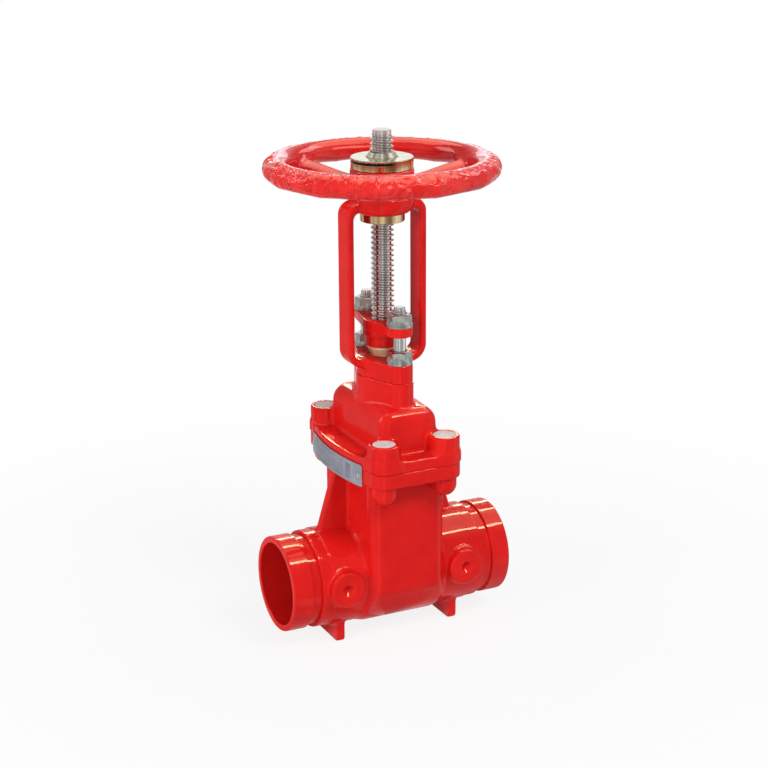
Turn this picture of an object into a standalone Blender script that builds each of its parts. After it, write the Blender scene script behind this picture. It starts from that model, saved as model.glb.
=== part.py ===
"""Outside screw and yoke gate valve with grooved ends, 2 1/2 inch (DN65).

Units are metres. X runs along the pipe, Z is up, and the origin is on the floor under the stem's axis.
The valve is modelled closed, with the gate down and the stem at its lowest.
"""

import math

import bmesh
import bpy
from mathutils import Matrix, Vector

MM = 0.001
FIT = 0.3 * MM  # gap between two pieces that touch
PAST = 5.0 * MM  # how far a cutter runs past what it cuts
ROOT = 3.0 * MM  # how deep a shape sinks into the one that it joins

# Facets round a full turn
HULL_SIDES = 28
PIPE_SIDES = 32
ROUND_SIDES = 18
SMALL_SIDES = 10
RIM_SIDES = 48
RIM_SECTION_SIDES = 10
SPOKE_SIDES = 10
SPOKE_STEPS = 4

# Pipe ends
PIPE_OUTER = 76.1 * MM
BORE = 66.0 * MM
FACE_TO_FACE = 190.0 * MM
AXIS_HEIGHT = 49.5 * MM
LIP_WIDTH = 15.9 * MM
GROOVE_WIDTH = 8.0 * MM
GROOVE_DIAMETER = 72.3 * MM
COLLAR_WIDTH = 10.0 * MM
COLLAR_RISE = 0.8 * MM
COLLAR_ROUNDING = 4.0 * MM
PIPE_EDGE = 1.0 * MM
BARREL_DIAMETER = 79.0 * MM

# Feet and side bosses of the body
FOOT_OFFSET = 50.0 * MM
FOOT_THICKNESS = 7.0 * MM
FOOT_HALF_WIDTH = 24.0 * MM
FOOT_CORNER = 4.0 * MM
FOOT_ROOT = 22.0 * MM  # below the pipe's axis, inside the barrel
BOSS_OFFSET = 52.0 * MM
BOSS_LIFT = 3.0 * MM
BOSS_RADIUS = 15.3 * MM
BOSS_REACH = 45.0 * MM
BOSS_EDGE = 2.2 * MM
BOSS_ROOT = 28.0 * MM
DIMPLE_RADIUS = 4.8 * MM
DIMPLE_DEPTH = 2.4 * MM

# Chamber of the body, heights above the pipe's axis
CHAMBER_HALF_X = 32.5 * MM
CHAMBER_HALF_Y = 46.5 * MM
CHAMBER_POWER = 6
CHAMBER_SHOULDER = -6.0 * MM
CHAMBER_BOTTOM = 41.8 * MM
CHAMBER_OVERSIZE = 2.0 * MM  # the bowl's half width past the front face
GUSSET_THICKNESS = 7.0 * MM
GUSSET_FOOT_X = 58.5 * MM
GUSSET_HEAD_X = 44.0 * MM

# Flanges between body and bonnet
PARTING = 101.6 * MM
BODY_FLANGE = 12.0 * MM
BONNET_FLANGE = 8.6 * MM
FLANGE_HALF_X = 45.5 * MM
FLANGE_HALF_Y = 65.0 * MM
FLANGE_SIDE_RADIUS = 193.0 * MM
FLANGE_SIDE_END = 47.5 * MM
FLANGE_EDGE = 1.0 * MM
BOLT_X = 25.9 * MM
BOLT_Y = 54.2 * MM
BOLT_BOSS_RADIUS = 12.5 * MM
BOLT_BOSS_TOP = 123.3 * MM
BOLT_BOSS_EDGE = 1.8 * MM
BODY_BUMP_RADIUS = 11.5 * MM
BODY_BUMP_BOTTOM = 72.5 * MM
BODY_BUMP_ROUNDING = 9.5 * MM
SCREW_RADIUS = 5.0 * MM
SCREW_HEAD_RADIUS = 8.0 * MM
SCREW_HEAD_HEIGHT = 9.8 * MM
SCREW_LENGTH = 30.0 * MM
TAPPING_SPARE = 2.0 * MM
SCREW_SOCKET = 8.0 * MM
SCREW_EDGE = 0.8 * MM
WAX_RISE = 0.2 * MM
COUNTERBORE_RADIUS = 8.9 * MM
COUNTERBORE_DEPTH = 12.3 * MM
GASKET_HALF_X = 30.0 * MM
GASKET_HALF_Y = 46.0 * MM
GASKET_CORNER = 16.0 * MM
GASKET_WIDTH = 4.0 * MM
GASKET_GROOVE = 1.8 * MM

# Gate cavity
SLOT_TOP_HALF = 15.5 * MM
SLOT_BOTTOM_HALF = 12.6 * MM
SEAT_WIDTH = 4.5 * MM
SLOT_RADIUS = BORE / 2 + SEAT_WIDTH
LIFT = BORE / 2 + SLOT_RADIUS  # the open gate stands just clear of the bore
SLOT_SHOULDER = 40.0 * MM
CAVITY_HALF_X = 20.0 * MM
CAVITY_HALF_Y = 38.0 * MM
CAVITY_FLARE = 8.0 * MM
CAVITY_CORNER = 4.0 * MM
GUIDE_HALF_X = 5.5 * MM
GUIDE_DEPTH = 41.5 * MM
GUIDE_BOTTOM = -12.0 * MM

# Bonnet
DOME_HALF_X = 24.5 * MM
DOME_HALF_Y = 48.5 * MM
DOME_POWER = 5
DOME_TOP = 145.0 * MM
DOME_ARCH = 13.0 * MM
DOME_EDGE = 8.0 * MM
DOME_DRAFT = 1.5 * MM
DOME_WALL = 6.5 * MM
BONNET_CAVITY_X = 18.5 * MM
BONNET_CAVITY_Y = 42.0 * MM
BONNET_CAVITY_CORNER = 10.0 * MM
BONNET_CAVITY_CHAMFER = 4.0 * MM
BONNET_CEILING = DOME_TOP - DOME_WALL
NECK_HEIGHT = 17.8 * MM
NECK_TOP = DOME_TOP + NECK_HEIGHT
NECK_END_RADIUS = 10.2 * MM
NECK_WAIST_RADIUS = 21.0 * MM
NECK_EDGE = 0.8 * MM
NECK_ROOT = 8.0 * MM
STUFFING_OUTER = 16.6 * MM
STUFFING_INNER = 13.5 * MM
STUFFING_FLOOR = 9.5 * MM
STUFFING_BOTTOM = BONNET_CEILING + STUFFING_FLOOR
SPIGOT_HEIGHT = 5.2 * MM
STUFFING_TOP = NECK_TOP + SPIGOT_HEIGHT
STUD_Y = 29.2 * MM

# Yoke
YOKE_BASE_HEIGHT = 14.4 * MM
YOKE_BASE_TOP = NECK_TOP + YOKE_BASE_HEIGHT
LEG_FOOT_DROP = 7.2 * MM
LEG_OUTER = 33.5 * MM
LEG_INNER = 28.0 * MM
LEG_HALF_WIDTH = 10.0 * MM
LEG_LOWER_BEND = 14.0 * MM
LEG_UPPER_BEND = 10.8 * MM
WINDOW_CORNER = 6.0 * MM
WINDOW_HEIGHT = 115.8 * MM
BRIDGE_BOTTOM = YOKE_BASE_TOP + WINDOW_HEIGHT
BRIDGE_THICKNESS = 7.2 * MM
BRIDGE_TOP = BRIDGE_BOTTOM + BRIDGE_THICKNESS
BOWL_SINK = 2.8 * MM
BOWL_BOTTOM = BRIDGE_BOTTOM - BOWL_SINK
BOWL_LOWER_RADIUS = 18.4 * MM
BOWL_UPPER_RADIUS = 24.5 * MM
BOWL_ROUND_HEIGHT = 9.0 * MM
BOWL_RISE = 2.6 * MM
BOWL_EDGE = 0.6 * MM
LEG_EDGE = 2.0 * MM
BOWL_TOP = BRIDGE_TOP + BOWL_RISE

# Stem and its nut, called the yoke sleeve
STEM_RADIUS = 9.0 * MM
STEM_NOSE_RADIUS = 7.2 * MM
STEM_NOSE_LENGTH = 2.1 * MM
SLEEVE_FLANGE = 17.3 * MM
SLEEVE_FLANGE_HEIGHT = 6.3 * MM
SLEEVE_EDGE = 1.0 * MM
SLEEVE_BODY = 14.0 * MM
SLEEVE_HUB = 13.0 * MM
SLEEVE_THREAD = 12.0 * MM
SLEEVE_CONE = 1.9 * MM
SLEEVE_CONE_HEIGHT = 3.4 * MM
WASHER_RADIUS = 20.5 * MM
WASHER_THICKNESS = 2.0 * MM
WASHER_SINK = 2.2 * MM
WASHER_SLACK = 1.0 * MM
KEY_WIDTH = 5.0 * MM
KEY_LENGTH = 12.0 * MM
KEY_LIFT = 1.5 * MM

# Handwheel
WHEEL_RADIUS = 81.1 * MM
RIM_HALF_WIDTH = 10.4 * MM
RIM_HALF_HEIGHT = 9.2 * MM
RIM_GRIPS = 12
RIM_GRIP_DEPTH = 1.4 * MM
HUB_BOTTOM = BOWL_TOP - WASHER_SINK + WASHER_THICKNESS + 2 * FIT
HUB_HEIGHT = 21.0 * MM
HUB_TOP = HUB_BOTTOM + HUB_HEIGHT
HUB_RADIUS = 24.6 * MM
HUB_DRAWN_IN = 4.0 * MM
HUB_TAPER_HEIGHT = 7.0 * MM
HUB_EDGE = 1.5 * MM
RIM_LIFT = 0.4 * MM
RIM_HEIGHT = HUB_TOP + RIM_LIFT
SPOKES = 3
SPOKE_HALF_WIDTH = 9.5 * MM
SPOKE_HUB_HALF_HEIGHT = 5.6 * MM
SPOKE_RIM_HALF_HEIGHT = 4.4 * MM
SPOKE_RIM_DROP = 5.2 * MM
SPOKE_HUB_DROP = 15.0 * MM
WHEEL_ANGLE = -117.8
WHEEL_NUT_RADIUS = 24.1 * MM
WHEEL_NUT_HEIGHT = 8.4 * MM
WHEEL_NUT_EDGE = 0.7 * MM
WHEEL_NUT_TOP = HUB_TOP + FIT + WHEEL_NUT_HEIGHT
SLIT_DEPTH = 2.6 * MM
SLIT_WIDTH = 1.3 * MM
SLIT_REACH = 4.5 * MM
SLIT_ANGLE = -15
SLEEVE_SHOWING = 3.9 * MM
SLEEVE_TOP = WHEEL_NUT_TOP + SLEEVE_SHOWING
STEM_SHOWING = 16.7 * MM
STEM_TOP = SLEEVE_TOP + STEM_SHOWING

# Gland, studs and nuts
GLAND_LIFT = 22.0 * MM
GLAND_BOTTOM = YOKE_BASE_TOP + GLAND_LIFT
GLAND_THICKNESS = 7.5 * MM
GLAND_TOP = GLAND_BOTTOM + GLAND_THICKNESS
GLAND_END_RADIUS = 10.0 * MM
GLAND_WAIST_RADIUS = 16.0 * MM
GLAND_BARREL = 14.6 * MM
GLAND_EDGE = 1.2 * MM
BUSH_LIFT = 7.8 * MM
BUSH_TOP = YOKE_BASE_TOP + BUSH_LIFT
BUSH_NECK = 11.9 * MM
BUSH_SHOULDER = 13.6 * MM
BUSH_RING_HEIGHT = 2.2 * MM
BUSH_FLARE = 1.4 * MM
BUSH_DEPTH = 4.4 * MM
BUSH_EDGE = 0.6 * MM
PACKING_RINGS = 3
STUD_RADIUS = 5.0 * MM
STUD_EDGE = 1.0 * MM
STUD_SHOWING = 15.3 * MM
STUD_TOP = GLAND_TOP + STUD_SHOWING
STUD_DEPTH = 11.8 * MM
STUD_BOTTOM = NECK_TOP - STUD_DEPTH
NUT_FLATS = 17.0 * MM
NUT_HEIGHT = 8.4 * MM
NUT_CHAMFER = 1.2 * MM
NUT_WASHER_RADIUS = 10.0 * MM
NUT_WASHER = 1.6 * MM

# Gate, heights above the pipe's axis
RUBBER = 3.0 * MM
GATE_SHOULDER = 30.0 * MM
GATE_TOP = 38.0 * MM
LUG_HALF_X = 9.0 * MM
LUG_HALF_Y = 17.0 * MM
LUG_TOP = 58.0 * MM
HEAD_HALF_Y = 11.8 * MM
HEAD_BOTTOM = 42.0 * MM
HEAD_TOP = 49.5 * MM
NECK_RADIUS = 8.2 * MM
NECK_SHOWING = 1.5 * MM
GATE_CORNER = 1.5 * MM
BACKSEAT_RADIUS = 12.0 * MM
BACKSEAT_HEIGHT = 5.0 * MM
BACKSEAT_BEVEL = 2.0 * MM
BACKSEAT_SLACK = 1.0 * MM
EAR_HALF_X = 2.8 * MM
EAR_REACH = 39.3 * MM
EAR_BOTTOM = -8.0 * MM
EAR_TOP = 30.0 * MM
SHOE_HALF_X = 5.2 * MM
SHOE_REACH = 41.2 * MM

# Nameplate
PLATE_BOTTOM = 88.0 * MM
PLATE_TOP = 105.4 * MM
PLATE_THICKNESS = 0.8 * MM
PLATE_HALF_ANGLE = 13.8
RIVET_ANGLE = 12.6
RIVET_LIFT = 96.0 * MM
RIVET_RADIUS = 1.5 * MM
RIVET_HEAD = 2.6 * MM
RIVET_HEAD_HEIGHT = 1.2 * MM
RIVET_DEPTH = 5.0 * MM


# Outlines


def circle(radius, count, centre=(0.0, 0.0)):
    steps = [2 * math.pi * k / count for k in range(count)]
    return [(centre[0] + radius * math.cos(a), centre[1] + radius * math.sin(a)) for a in steps]


def arc(centre, radius, start, end, count):
    angles = [math.radians(start + (end - start) * k / count) for k in range(count + 1)]
    return [(centre[0] + radius * math.cos(a), centre[1] + radius * math.sin(a)) for a in angles]


def superellipse(half_x, half_y, power, count):
    points = []
    for k in range(count):
        a = 2 * math.pi * (k + 0.5) / count
        c, s = math.cos(a), math.sin(a)
        x = half_x * math.copysign(abs(c) ** (2 / power), c)
        y = half_y * math.copysign(abs(s) ** (2 / power), s)
        points.append((x, y))
    return points


def rounded(corners, closed=True, steps=4):
    """The outline through (x, y, radius) corners, each corner an arc of its radius."""
    points = []
    last = len(corners) - 1
    for i, (x, y, radius) in enumerate(corners):
        corner = Vector((x, y))
        if radius <= 0 or (not closed and i in (0, last)):
            points.append((x, y))
            continue
        before = (Vector(corners[i - 1][:2]) - corner).normalized()
        after = (Vector(corners[(i + 1) % len(corners)][:2]) - corner).normalized()
        half = before.angle(after) / 2
        middle = corner + (before + after).normalized() * radius / math.sin(half)
        start = corner + before * radius / math.tan(half) - middle
        end = corner + after * radius / math.tan(half) - middle
        first = math.atan2(start.y, start.x)
        turn = math.atan2(start.cross(end), start.dot(end))
        for k in range(steps + 1):
            a = first + turn * k / steps
            points.append((middle.x + radius * math.cos(a), middle.y + radius * math.sin(a)))
    return points


def box_outline(half_x, half_y, corner=0.0, steps=4):
    signs = ((1, -1), (1, 1), (-1, 1), (-1, -1))
    return rounded([(half_x * sx, half_y * sy, corner) for sx, sy in signs], steps=steps)


def lozenge(offset, end_radius, waist_radius, steps=8):
    """A round waist drawn out along Y to a smaller round at each end."""
    lean = math.degrees(math.acos((waist_radius - end_radius) / offset))
    half = arc((0, offset), end_radius, 90 - lean, 90 + lean, steps)
    half += arc((0, 0), waist_radius, 90 + lean, 270 - lean, steps)
    return half + [(-x, -y) for x, y in half]


def flange_outline(inset=0.0):
    """Bowed along the pipe's sides, straight across, with the corners round the bolts."""
    side_centre = FLANGE_HALF_X - FLANGE_SIDE_RADIUS
    bow = math.degrees(math.asin(FLANGE_SIDE_END / FLANGE_SIDE_RADIUS))
    corner = BOLT_BOSS_RADIUS - inset
    flat = math.degrees(math.asin((FLANGE_HALF_Y - inset - BOLT_Y) / corner))
    right = arc((side_centre, 0), FLANGE_SIDE_RADIUS - inset, 0, bow, 4)
    right += arc((BOLT_X, BOLT_Y), corner, -8, flat, 5)
    top = right + [(-x, y) for x, y in reversed(right)]
    return top[:-1] + [(x, -y) for x, y in reversed(top)][:-1]


# Solids


def add_object(mesh_data, name="shape"):
    bmesh.ops.remove_doubles(mesh_data, verts=mesh_data.verts, dist=1e-7)
    bmesh.ops.recalc_face_normals(mesh_data, faces=mesh_data.faces)
    mesh = bpy.data.meshes.new(name)
    mesh_data.to_mesh(mesh)
    mesh_data.free()
    obj = bpy.data.objects.new(name, mesh)
    bpy.context.scene.collection.objects.link(obj)
    return obj


def along(axis):
    """The matrix that turns a shape drawn along Z to lie along X, Y or Z."""
    columns = {
        "X": ((0, 0, 1), (1, 0, 0), (0, 1, 0)),
        "Y": ((1, 0, 0), (0, 0, 1), (0, 1, 0)),
        "Z": ((1, 0, 0), (0, 1, 0), (0, 0, 1)),
    }
    return Matrix(columns[axis]).to_4x4()


def loft(sections, axis="Z"):
    """A skin through outlines of equal count, each at its level, closed at both ends."""
    shape = bmesh.new()
    rings = []
    for outline, level in sections:
        rings.append([shape.verts.new((u, v, level)) for u, v in outline])
    for low, high in zip(rings, rings[1:]):
        for k in range(len(low)):
            shape.faces.new((low[k - 1], low[k], high[k], high[k - 1]))
    shape.faces.new(rings[0])
    shape.faces.new(rings[-1])
    bmesh.ops.transform(shape, matrix=along(axis), verts=shape.verts)
    return add_object(shape)


def prism(outline, low, high, axis="Z"):
    return loft([(outline, low), (outline, high)], axis)


def turned(profile, count, axis="Z", centre=(0, 0, 0), ring=False):
    """Spins (radius, height) points about the axis. A ring's profile is a closed loop."""
    shape = bmesh.new()
    points = [shape.verts.new((r, 0, h)) for r, h in profile]
    pairs = list(zip(points, points[1:]))
    if ring:
        pairs.append((points[-1], points[0]))
    edges = [shape.edges.new(pair) for pair in pairs]
    bmesh.ops.spin(
        shape,
        geom=points + edges,
        cent=(0, 0, 0),
        axis=(0, 0, 1),
        angle=2 * math.pi,
        steps=count,
    )
    bmesh.ops.transform(shape, matrix=Matrix.Translation(centre) @ along(axis), verts=shape.verts)
    return add_object(shape)


def rod(radius, low, high, count=32, axis="Z", centre=(0, 0, 0), edge=0.0, steps=1):
    profile = [(0, low), (radius, low, edge), (radius, high, edge), (0, high)]
    corners = [(p[0], p[1], p[2] if len(p) > 2 else 0) for p in profile]
    return turned(rounded(corners, closed=False, steps=steps), count, axis, centre)


def tube(inner, outer, low, high, count=32, centre=(0, 0, 0), edge=0.0):
    corners = [(inner, low, 0), (outer, low, edge), (outer, high, edge), (inner, high, 0)]
    return turned(rounded(corners, steps=2), count, centre=centre, ring=True)


def combine(target, others, operation):
    for other in others:
        tool = target.modifiers.new("combine", "BOOLEAN")
        tool.object = other
        tool.operation = operation
        tool.solver = "EXACT"
        bpy.context.view_layer.update()
        graph = bpy.context.evaluated_depsgraph_get()
        mesh = bpy.data.meshes.new_from_object(target.evaluated_get(graph))
        target.modifiers.clear()
        target.data = mesh
        bpy.data.objects.remove(other)
    return target


def union(target, *others):
    return combine(target, others, "UNION")


def cut(target, *others):
    return combine(target, others, "DIFFERENCE")


def common(target, *others):
    return combine(target, others, "INTERSECT")


def chamfer_edges(obj, width, keep, segments=2):
    """Rounds the sharp edges whose middle the keep function accepts."""
    shape = bmesh.new()
    shape.from_mesh(obj.data)
    sharp = []
    for edge in shape.edges:
        middle = (edge.verts[0].co + edge.verts[1].co) / 2
        if len(edge.link_faces) == 2 and edge.calc_face_angle() > 0.8 and keep(middle):
            sharp.append(edge)
    bmesh.ops.bevel(
        shape, geom=sharp, offset=width, segments=segments, affect="EDGES", clamp_overlap=True
    )
    shape.to_mesh(obj.data)
    shape.free()
    return obj


def node(obj, name, finish, parent=None):
    shape = bmesh.new()
    shape.from_mesh(obj.data)
    bmesh.ops.dissolve_degenerate(shape, edges=shape.edges, dist=1e-6)
    shape.to_mesh(obj.data)
    shape.free()
    obj.name = name
    obj.data.name = name
    obj.data.materials.clear()
    obj.data.materials.append(finish)
    obj.data.shade_smooth()
    obj.data.set_sharp_from_angle(angle=math.radians(35))
    obj.parent = parent
    return obj


def material(name, colour, roughness, metallic=0.0):
    finish = bpy.data.materials.new(name)
    finish.use_nodes = True
    shader = finish.node_tree.nodes["Principled BSDF"]
    shader.inputs["Base Color"].default_value = (*colour, 1.0)
    shader.inputs["Roughness"].default_value = roughness
    shader.inputs["Metallic"].default_value = metallic
    finish.diffuse_color = (*colour, 1.0)
    return finish


def above_axis(height):
    return AXIS_HEIGHT + height


# Cast body


def barrel():
    """The grooved pipe from end to end, spun about the pipe's axis."""
    lip = PIPE_OUTER / 2
    end = FACE_TO_FACE / 2
    groove = end - LIP_WIDTH
    collar = groove - GROOVE_WIDTH
    inner = collar - COLLAR_WIDTH
    half = [
        (lip - PIPE_EDGE, end, 0),
        (lip, end - PIPE_EDGE, 0),
        (lip, groove, 0),
        (GROOVE_DIAMETER / 2, groove, 0),
        (GROOVE_DIAMETER / 2, collar, 0),
        (lip, collar, 0),
        (lip + COLLAR_RISE, (collar + inner) / 2, COLLAR_ROUNDING),
        (lip, inner, 0),
        (BARREL_DIAMETER / 2, inner - ROOT, 0),
    ]
    half_points = rounded(half, closed=False, steps=1)
    profile = [(0, end)] + half_points + [(r, -x) for r, x in reversed(half_points)] + [(0, -end)]
    return turned(profile, PIPE_SIDES, "X", (0, 0, AXIS_HEIGHT))


def chamber():
    """The gate's housing: a full rectangle in plan, drawn in to the pipe below its shoulder."""
    top = PARTING - BODY_FLANGE / 2
    plan = prism(
        superellipse(CHAMBER_HALF_X, CHAMBER_HALF_Y, CHAMBER_POWER, HULL_SIDES), 0, above_axis(top)
    )
    width = CHAMBER_HALF_Y + CHAMBER_OVERSIZE
    depth = CHAMBER_BOTTOM + CHAMBER_SHOULDER
    bowl = [
        (width * math.cos(a), above_axis(CHAMBER_SHOULDER) + depth * math.sin(a))
        for a in (math.pi + math.pi * k / 16 for k in range(17))
    ]
    side = bowl + [(width, above_axis(top + PAST)), (-width, above_axis(top + PAST))]
    far = CHAMBER_HALF_X + PAST
    return common(plan, prism(side, -far, far, "X"))


def gusset(side):
    """The web from the flange's underside down to the pipe."""
    foot = above_axis(BARREL_DIAMETER / 2)
    under = above_axis(PARTING - BODY_FLANGE)
    inside = CHAMBER_HALF_X - 2 * ROOT
    corners = [
        (inside, foot - ROOT),
        (GUSSET_FOOT_X, foot - ROOT),
        (GUSSET_FOOT_X, foot + 0.5 * MM),
        (GUSSET_HEAD_X, under - 1 * MM),
        (GUSSET_HEAD_X, under + ROOT),
        (inside, under + ROOT),
    ]
    outline = [(side * x, z) for x, z in corners]
    return prism(outline, -GUSSET_THICKNESS / 2, GUSSET_THICKNESS / 2, "Y")


def foot(side):
    outline = rounded(
        [
            (-FOOT_HALF_WIDTH, 0, FOOT_CORNER),
            (FOOT_HALF_WIDTH, 0, FOOT_CORNER),
            (FOOT_HALF_WIDTH, above_axis(-FOOT_ROOT), 0),
            (-FOOT_HALF_WIDTH, above_axis(-FOOT_ROOT), 0),
        ]
    )
    middle = side * FOOT_OFFSET
    return prism(outline, middle - FOOT_THICKNESS / 2, middle + FOOT_THICKNESS / 2, "X")


def side_boss(side_x, side_y):
    """A round boss for a tapping, left undrilled, with a centre dimple."""
    profile = rounded(
        [
            (0, BOSS_ROOT, 0),
            (BOSS_RADIUS, BOSS_ROOT, 0),
            (BOSS_RADIUS, BOSS_REACH, BOSS_EDGE),
            (DIMPLE_RADIUS, BOSS_REACH, 0),
            (0, BOSS_REACH - DIMPLE_DEPTH, 0),
        ],
        closed=False,
        steps=1,
    )
    shape = turned(profile, ROUND_SIDES, "Y", (side_x * BOSS_OFFSET, 0, above_axis(BOSS_LIFT)))
    if side_y < 0:
        shape.data.transform(Matrix.Scale(-1, 4, (0, 1, 0)))
        shape.data.flip_normals()
    return shape


def bolt_places():
    return [(sx * BOLT_X, sy * BOLT_Y) for sx in (-1, 1) for sy in (-1, 1)]


def flange(bottom, top):
    return loft(
        [
            (flange_outline(FLANGE_EDGE), bottom),
            (flange_outline(), bottom + FLANGE_EDGE),
            (flange_outline(), top - FLANGE_EDGE),
            (flange_outline(FLANGE_EDGE), top),
        ]
    )


def body_bump(place):
    """The boss under the flange that the cover screw is tapped into."""
    bottom = above_axis(BODY_BUMP_BOTTOM)
    profile = rounded(
        [
            (0, bottom, 0),
            (BODY_BUMP_RADIUS, bottom, BODY_BUMP_ROUNDING),
            (BODY_BUMP_RADIUS, above_axis(PARTING - BODY_FLANGE / 2), 0),
            (0, above_axis(PARTING - BODY_FLANGE / 2), 0),
        ],
        closed=False,
        steps=3,
    )
    return turned(profile, ROUND_SIDES, centre=(*place, 0))


def slot_outline(half_y, radius, top):
    """The gate's pocket across the pipe: a half round below straight sides."""
    bottom = arc((0, AXIS_HEIGHT), radius, 180, 360, 20)
    return bottom + [(half_y, above_axis(top)), (-half_y, above_axis(top))]


def tapered_slab(outline, low_half, high_half, low, high):
    """An outline across the pipe, whose thickness grows from one height to another."""
    shape = bmesh.new()
    sides = []
    for sign in (-1, 1):
        ring = []
        for y, z in outline:
            share = (z - low) / (high - low)
            half = low_half + (high_half - low_half) * share
            ring.append(shape.verts.new((sign * half, y, z)))
        sides.append(ring)
        shape.faces.new(ring)
    first, second = sides
    for k in range(len(first)):
        shape.faces.new((first[k - 1], first[k], second[k], second[k - 1]))
    return add_object(shape)


def slot_half(height):
    """Half the pocket's width at a height above the axis: the seats lean apart upwards."""
    share = (height + SLOT_RADIUS) / (SLOT_SHOULDER + SLOT_RADIUS)
    return SLOT_BOTTOM_HALF + (SLOT_TOP_HALF - SLOT_BOTTOM_HALF) * share


def body_cavity():
    slot_top = SLOT_SHOULDER + CAVITY_FLARE
    pocket = tapered_slab(
        slot_outline(SLOT_RADIUS, SLOT_RADIUS, slot_top),
        slot_half(-SLOT_RADIUS),
        slot_half(slot_top),
        above_axis(-SLOT_RADIUS),
        above_axis(slot_top),
    )
    throat = loft(
        [
            (box_outline(slot_half(SLOT_SHOULDER) - 1 * MM, CAVITY_HALF_Y - 2 * MM, CAVITY_CORNER),
             above_axis(SLOT_SHOULDER)),
            (box_outline(CAVITY_HALF_X, CAVITY_HALF_Y, CAVITY_CORNER), above_axis(slot_top)),
            (box_outline(CAVITY_HALF_X, CAVITY_HALF_Y, CAVITY_CORNER), above_axis(PARTING) + PAST),
        ]
    )
    return union(pocket, throat)


def gasket_path(offset):
    return box_outline(
        GASKET_HALF_X + offset, GASKET_HALF_Y + offset, GASKET_CORNER + offset, steps=6
    )


def ring_prism(outer, inner, low, high):
    shape = prism(outer, low, high)
    return cut(shape, prism(inner, low - PAST, high + PAST))


def valve_body():
    body = barrel()
    union(body, chamber())
    union(body, flange(above_axis(PARTING - BODY_FLANGE), above_axis(PARTING)))
    for place in bolt_places():
        union(body, body_bump(place))
    for side in (-1, 1):
        union(body, gusset(side), foot(side), side_boss(side, -1), side_boss(side, 1))
    bore = rod(BORE / 2, -FACE_TO_FACE, FACE_TO_FACE, PIPE_SIDES, "X", (0, 0, AXIS_HEIGHT))
    guide = prism(
        box_outline(GUIDE_HALF_X, GUIDE_DEPTH, 0),
        above_axis(GUIDE_BOTTOM),
        above_axis(PARTING) + PAST,
    )
    cut(body, body_cavity(), bore, guide)
    groove_bottom = above_axis(PARTING) - GASKET_GROOVE
    cut(
        body,
        ring_prism(
            gasket_path(GASKET_WIDTH / 2 + FIT),
            gasket_path(-GASKET_WIDTH / 2 - FIT),
            groove_bottom,
            above_axis(PARTING) + PAST,
        ),
    )
    tapping_bottom = screw_bottom() - TAPPING_SPARE
    for place in bolt_places():
        hole = rod(
            SCREW_RADIUS + FIT, tapping_bottom, above_axis(PARTING) + PAST, SMALL_SIDES,
            centre=(*place, 0),
        )
        cut(body, hole)
    return body


def stud_hole(side, low, high):
    return rod(STUD_RADIUS + FIT, low, high, SMALL_SIDES, centre=(0, side * STUD_Y, 0))


# Bonnet, gasket and cover screws


def counterbore_bottom():
    return above_axis(BOLT_BOSS_TOP) - COUNTERBORE_DEPTH


def screw_bottom():
    return counterbore_bottom() + FIT - SCREW_LENGTH


def cover_boss(place):
    top = above_axis(BOLT_BOSS_TOP)
    return rod(
        BOLT_BOSS_RADIUS, above_axis(PARTING) + ROOT, top, ROUND_SIDES, centre=(*place, 0),
        edge=BOLT_BOSS_EDGE, steps=2,
    )


def drawn_in(depth, radius):
    """How far an edge rounded to a radius draws in at a depth below its top."""
    below = max(radius - depth, 0.0)
    return radius - math.sqrt(radius ** 2 - below ** 2)


def dome():
    """The bonnet's hood: leaning sides, an arch along the pipe and a smaller edge across it."""
    base = above_axis(PARTING) + ROOT
    sections = [
        (superellipse(DOME_HALF_X + DOME_DRAFT, DOME_HALF_Y + DOME_DRAFT, DOME_POWER, HULL_SIDES), base)
    ]
    for share in (1.0, 0.6, 0.33, 0.13, 0.03, 0.0):
        depth = DOME_ARCH * share
        half_x = DOME_HALF_X - drawn_in(depth, DOME_ARCH)
        half_y = DOME_HALF_Y - drawn_in(depth, DOME_EDGE)
        sections.append(
            (superellipse(half_x, half_y, DOME_POWER, HULL_SIDES), above_axis(DOME_TOP) - depth)
        )
    return loft(sections)


def neck_outline(inset=0.0):
    return lozenge(STUD_Y, NECK_END_RADIUS - inset, NECK_WAIST_RADIUS - inset, 6)


def hollow_outline(inset):
    return box_outline(
        BONNET_CAVITY_X - inset, BONNET_CAVITY_Y - inset, BONNET_CAVITY_CORNER - inset / 2
    )


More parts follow.
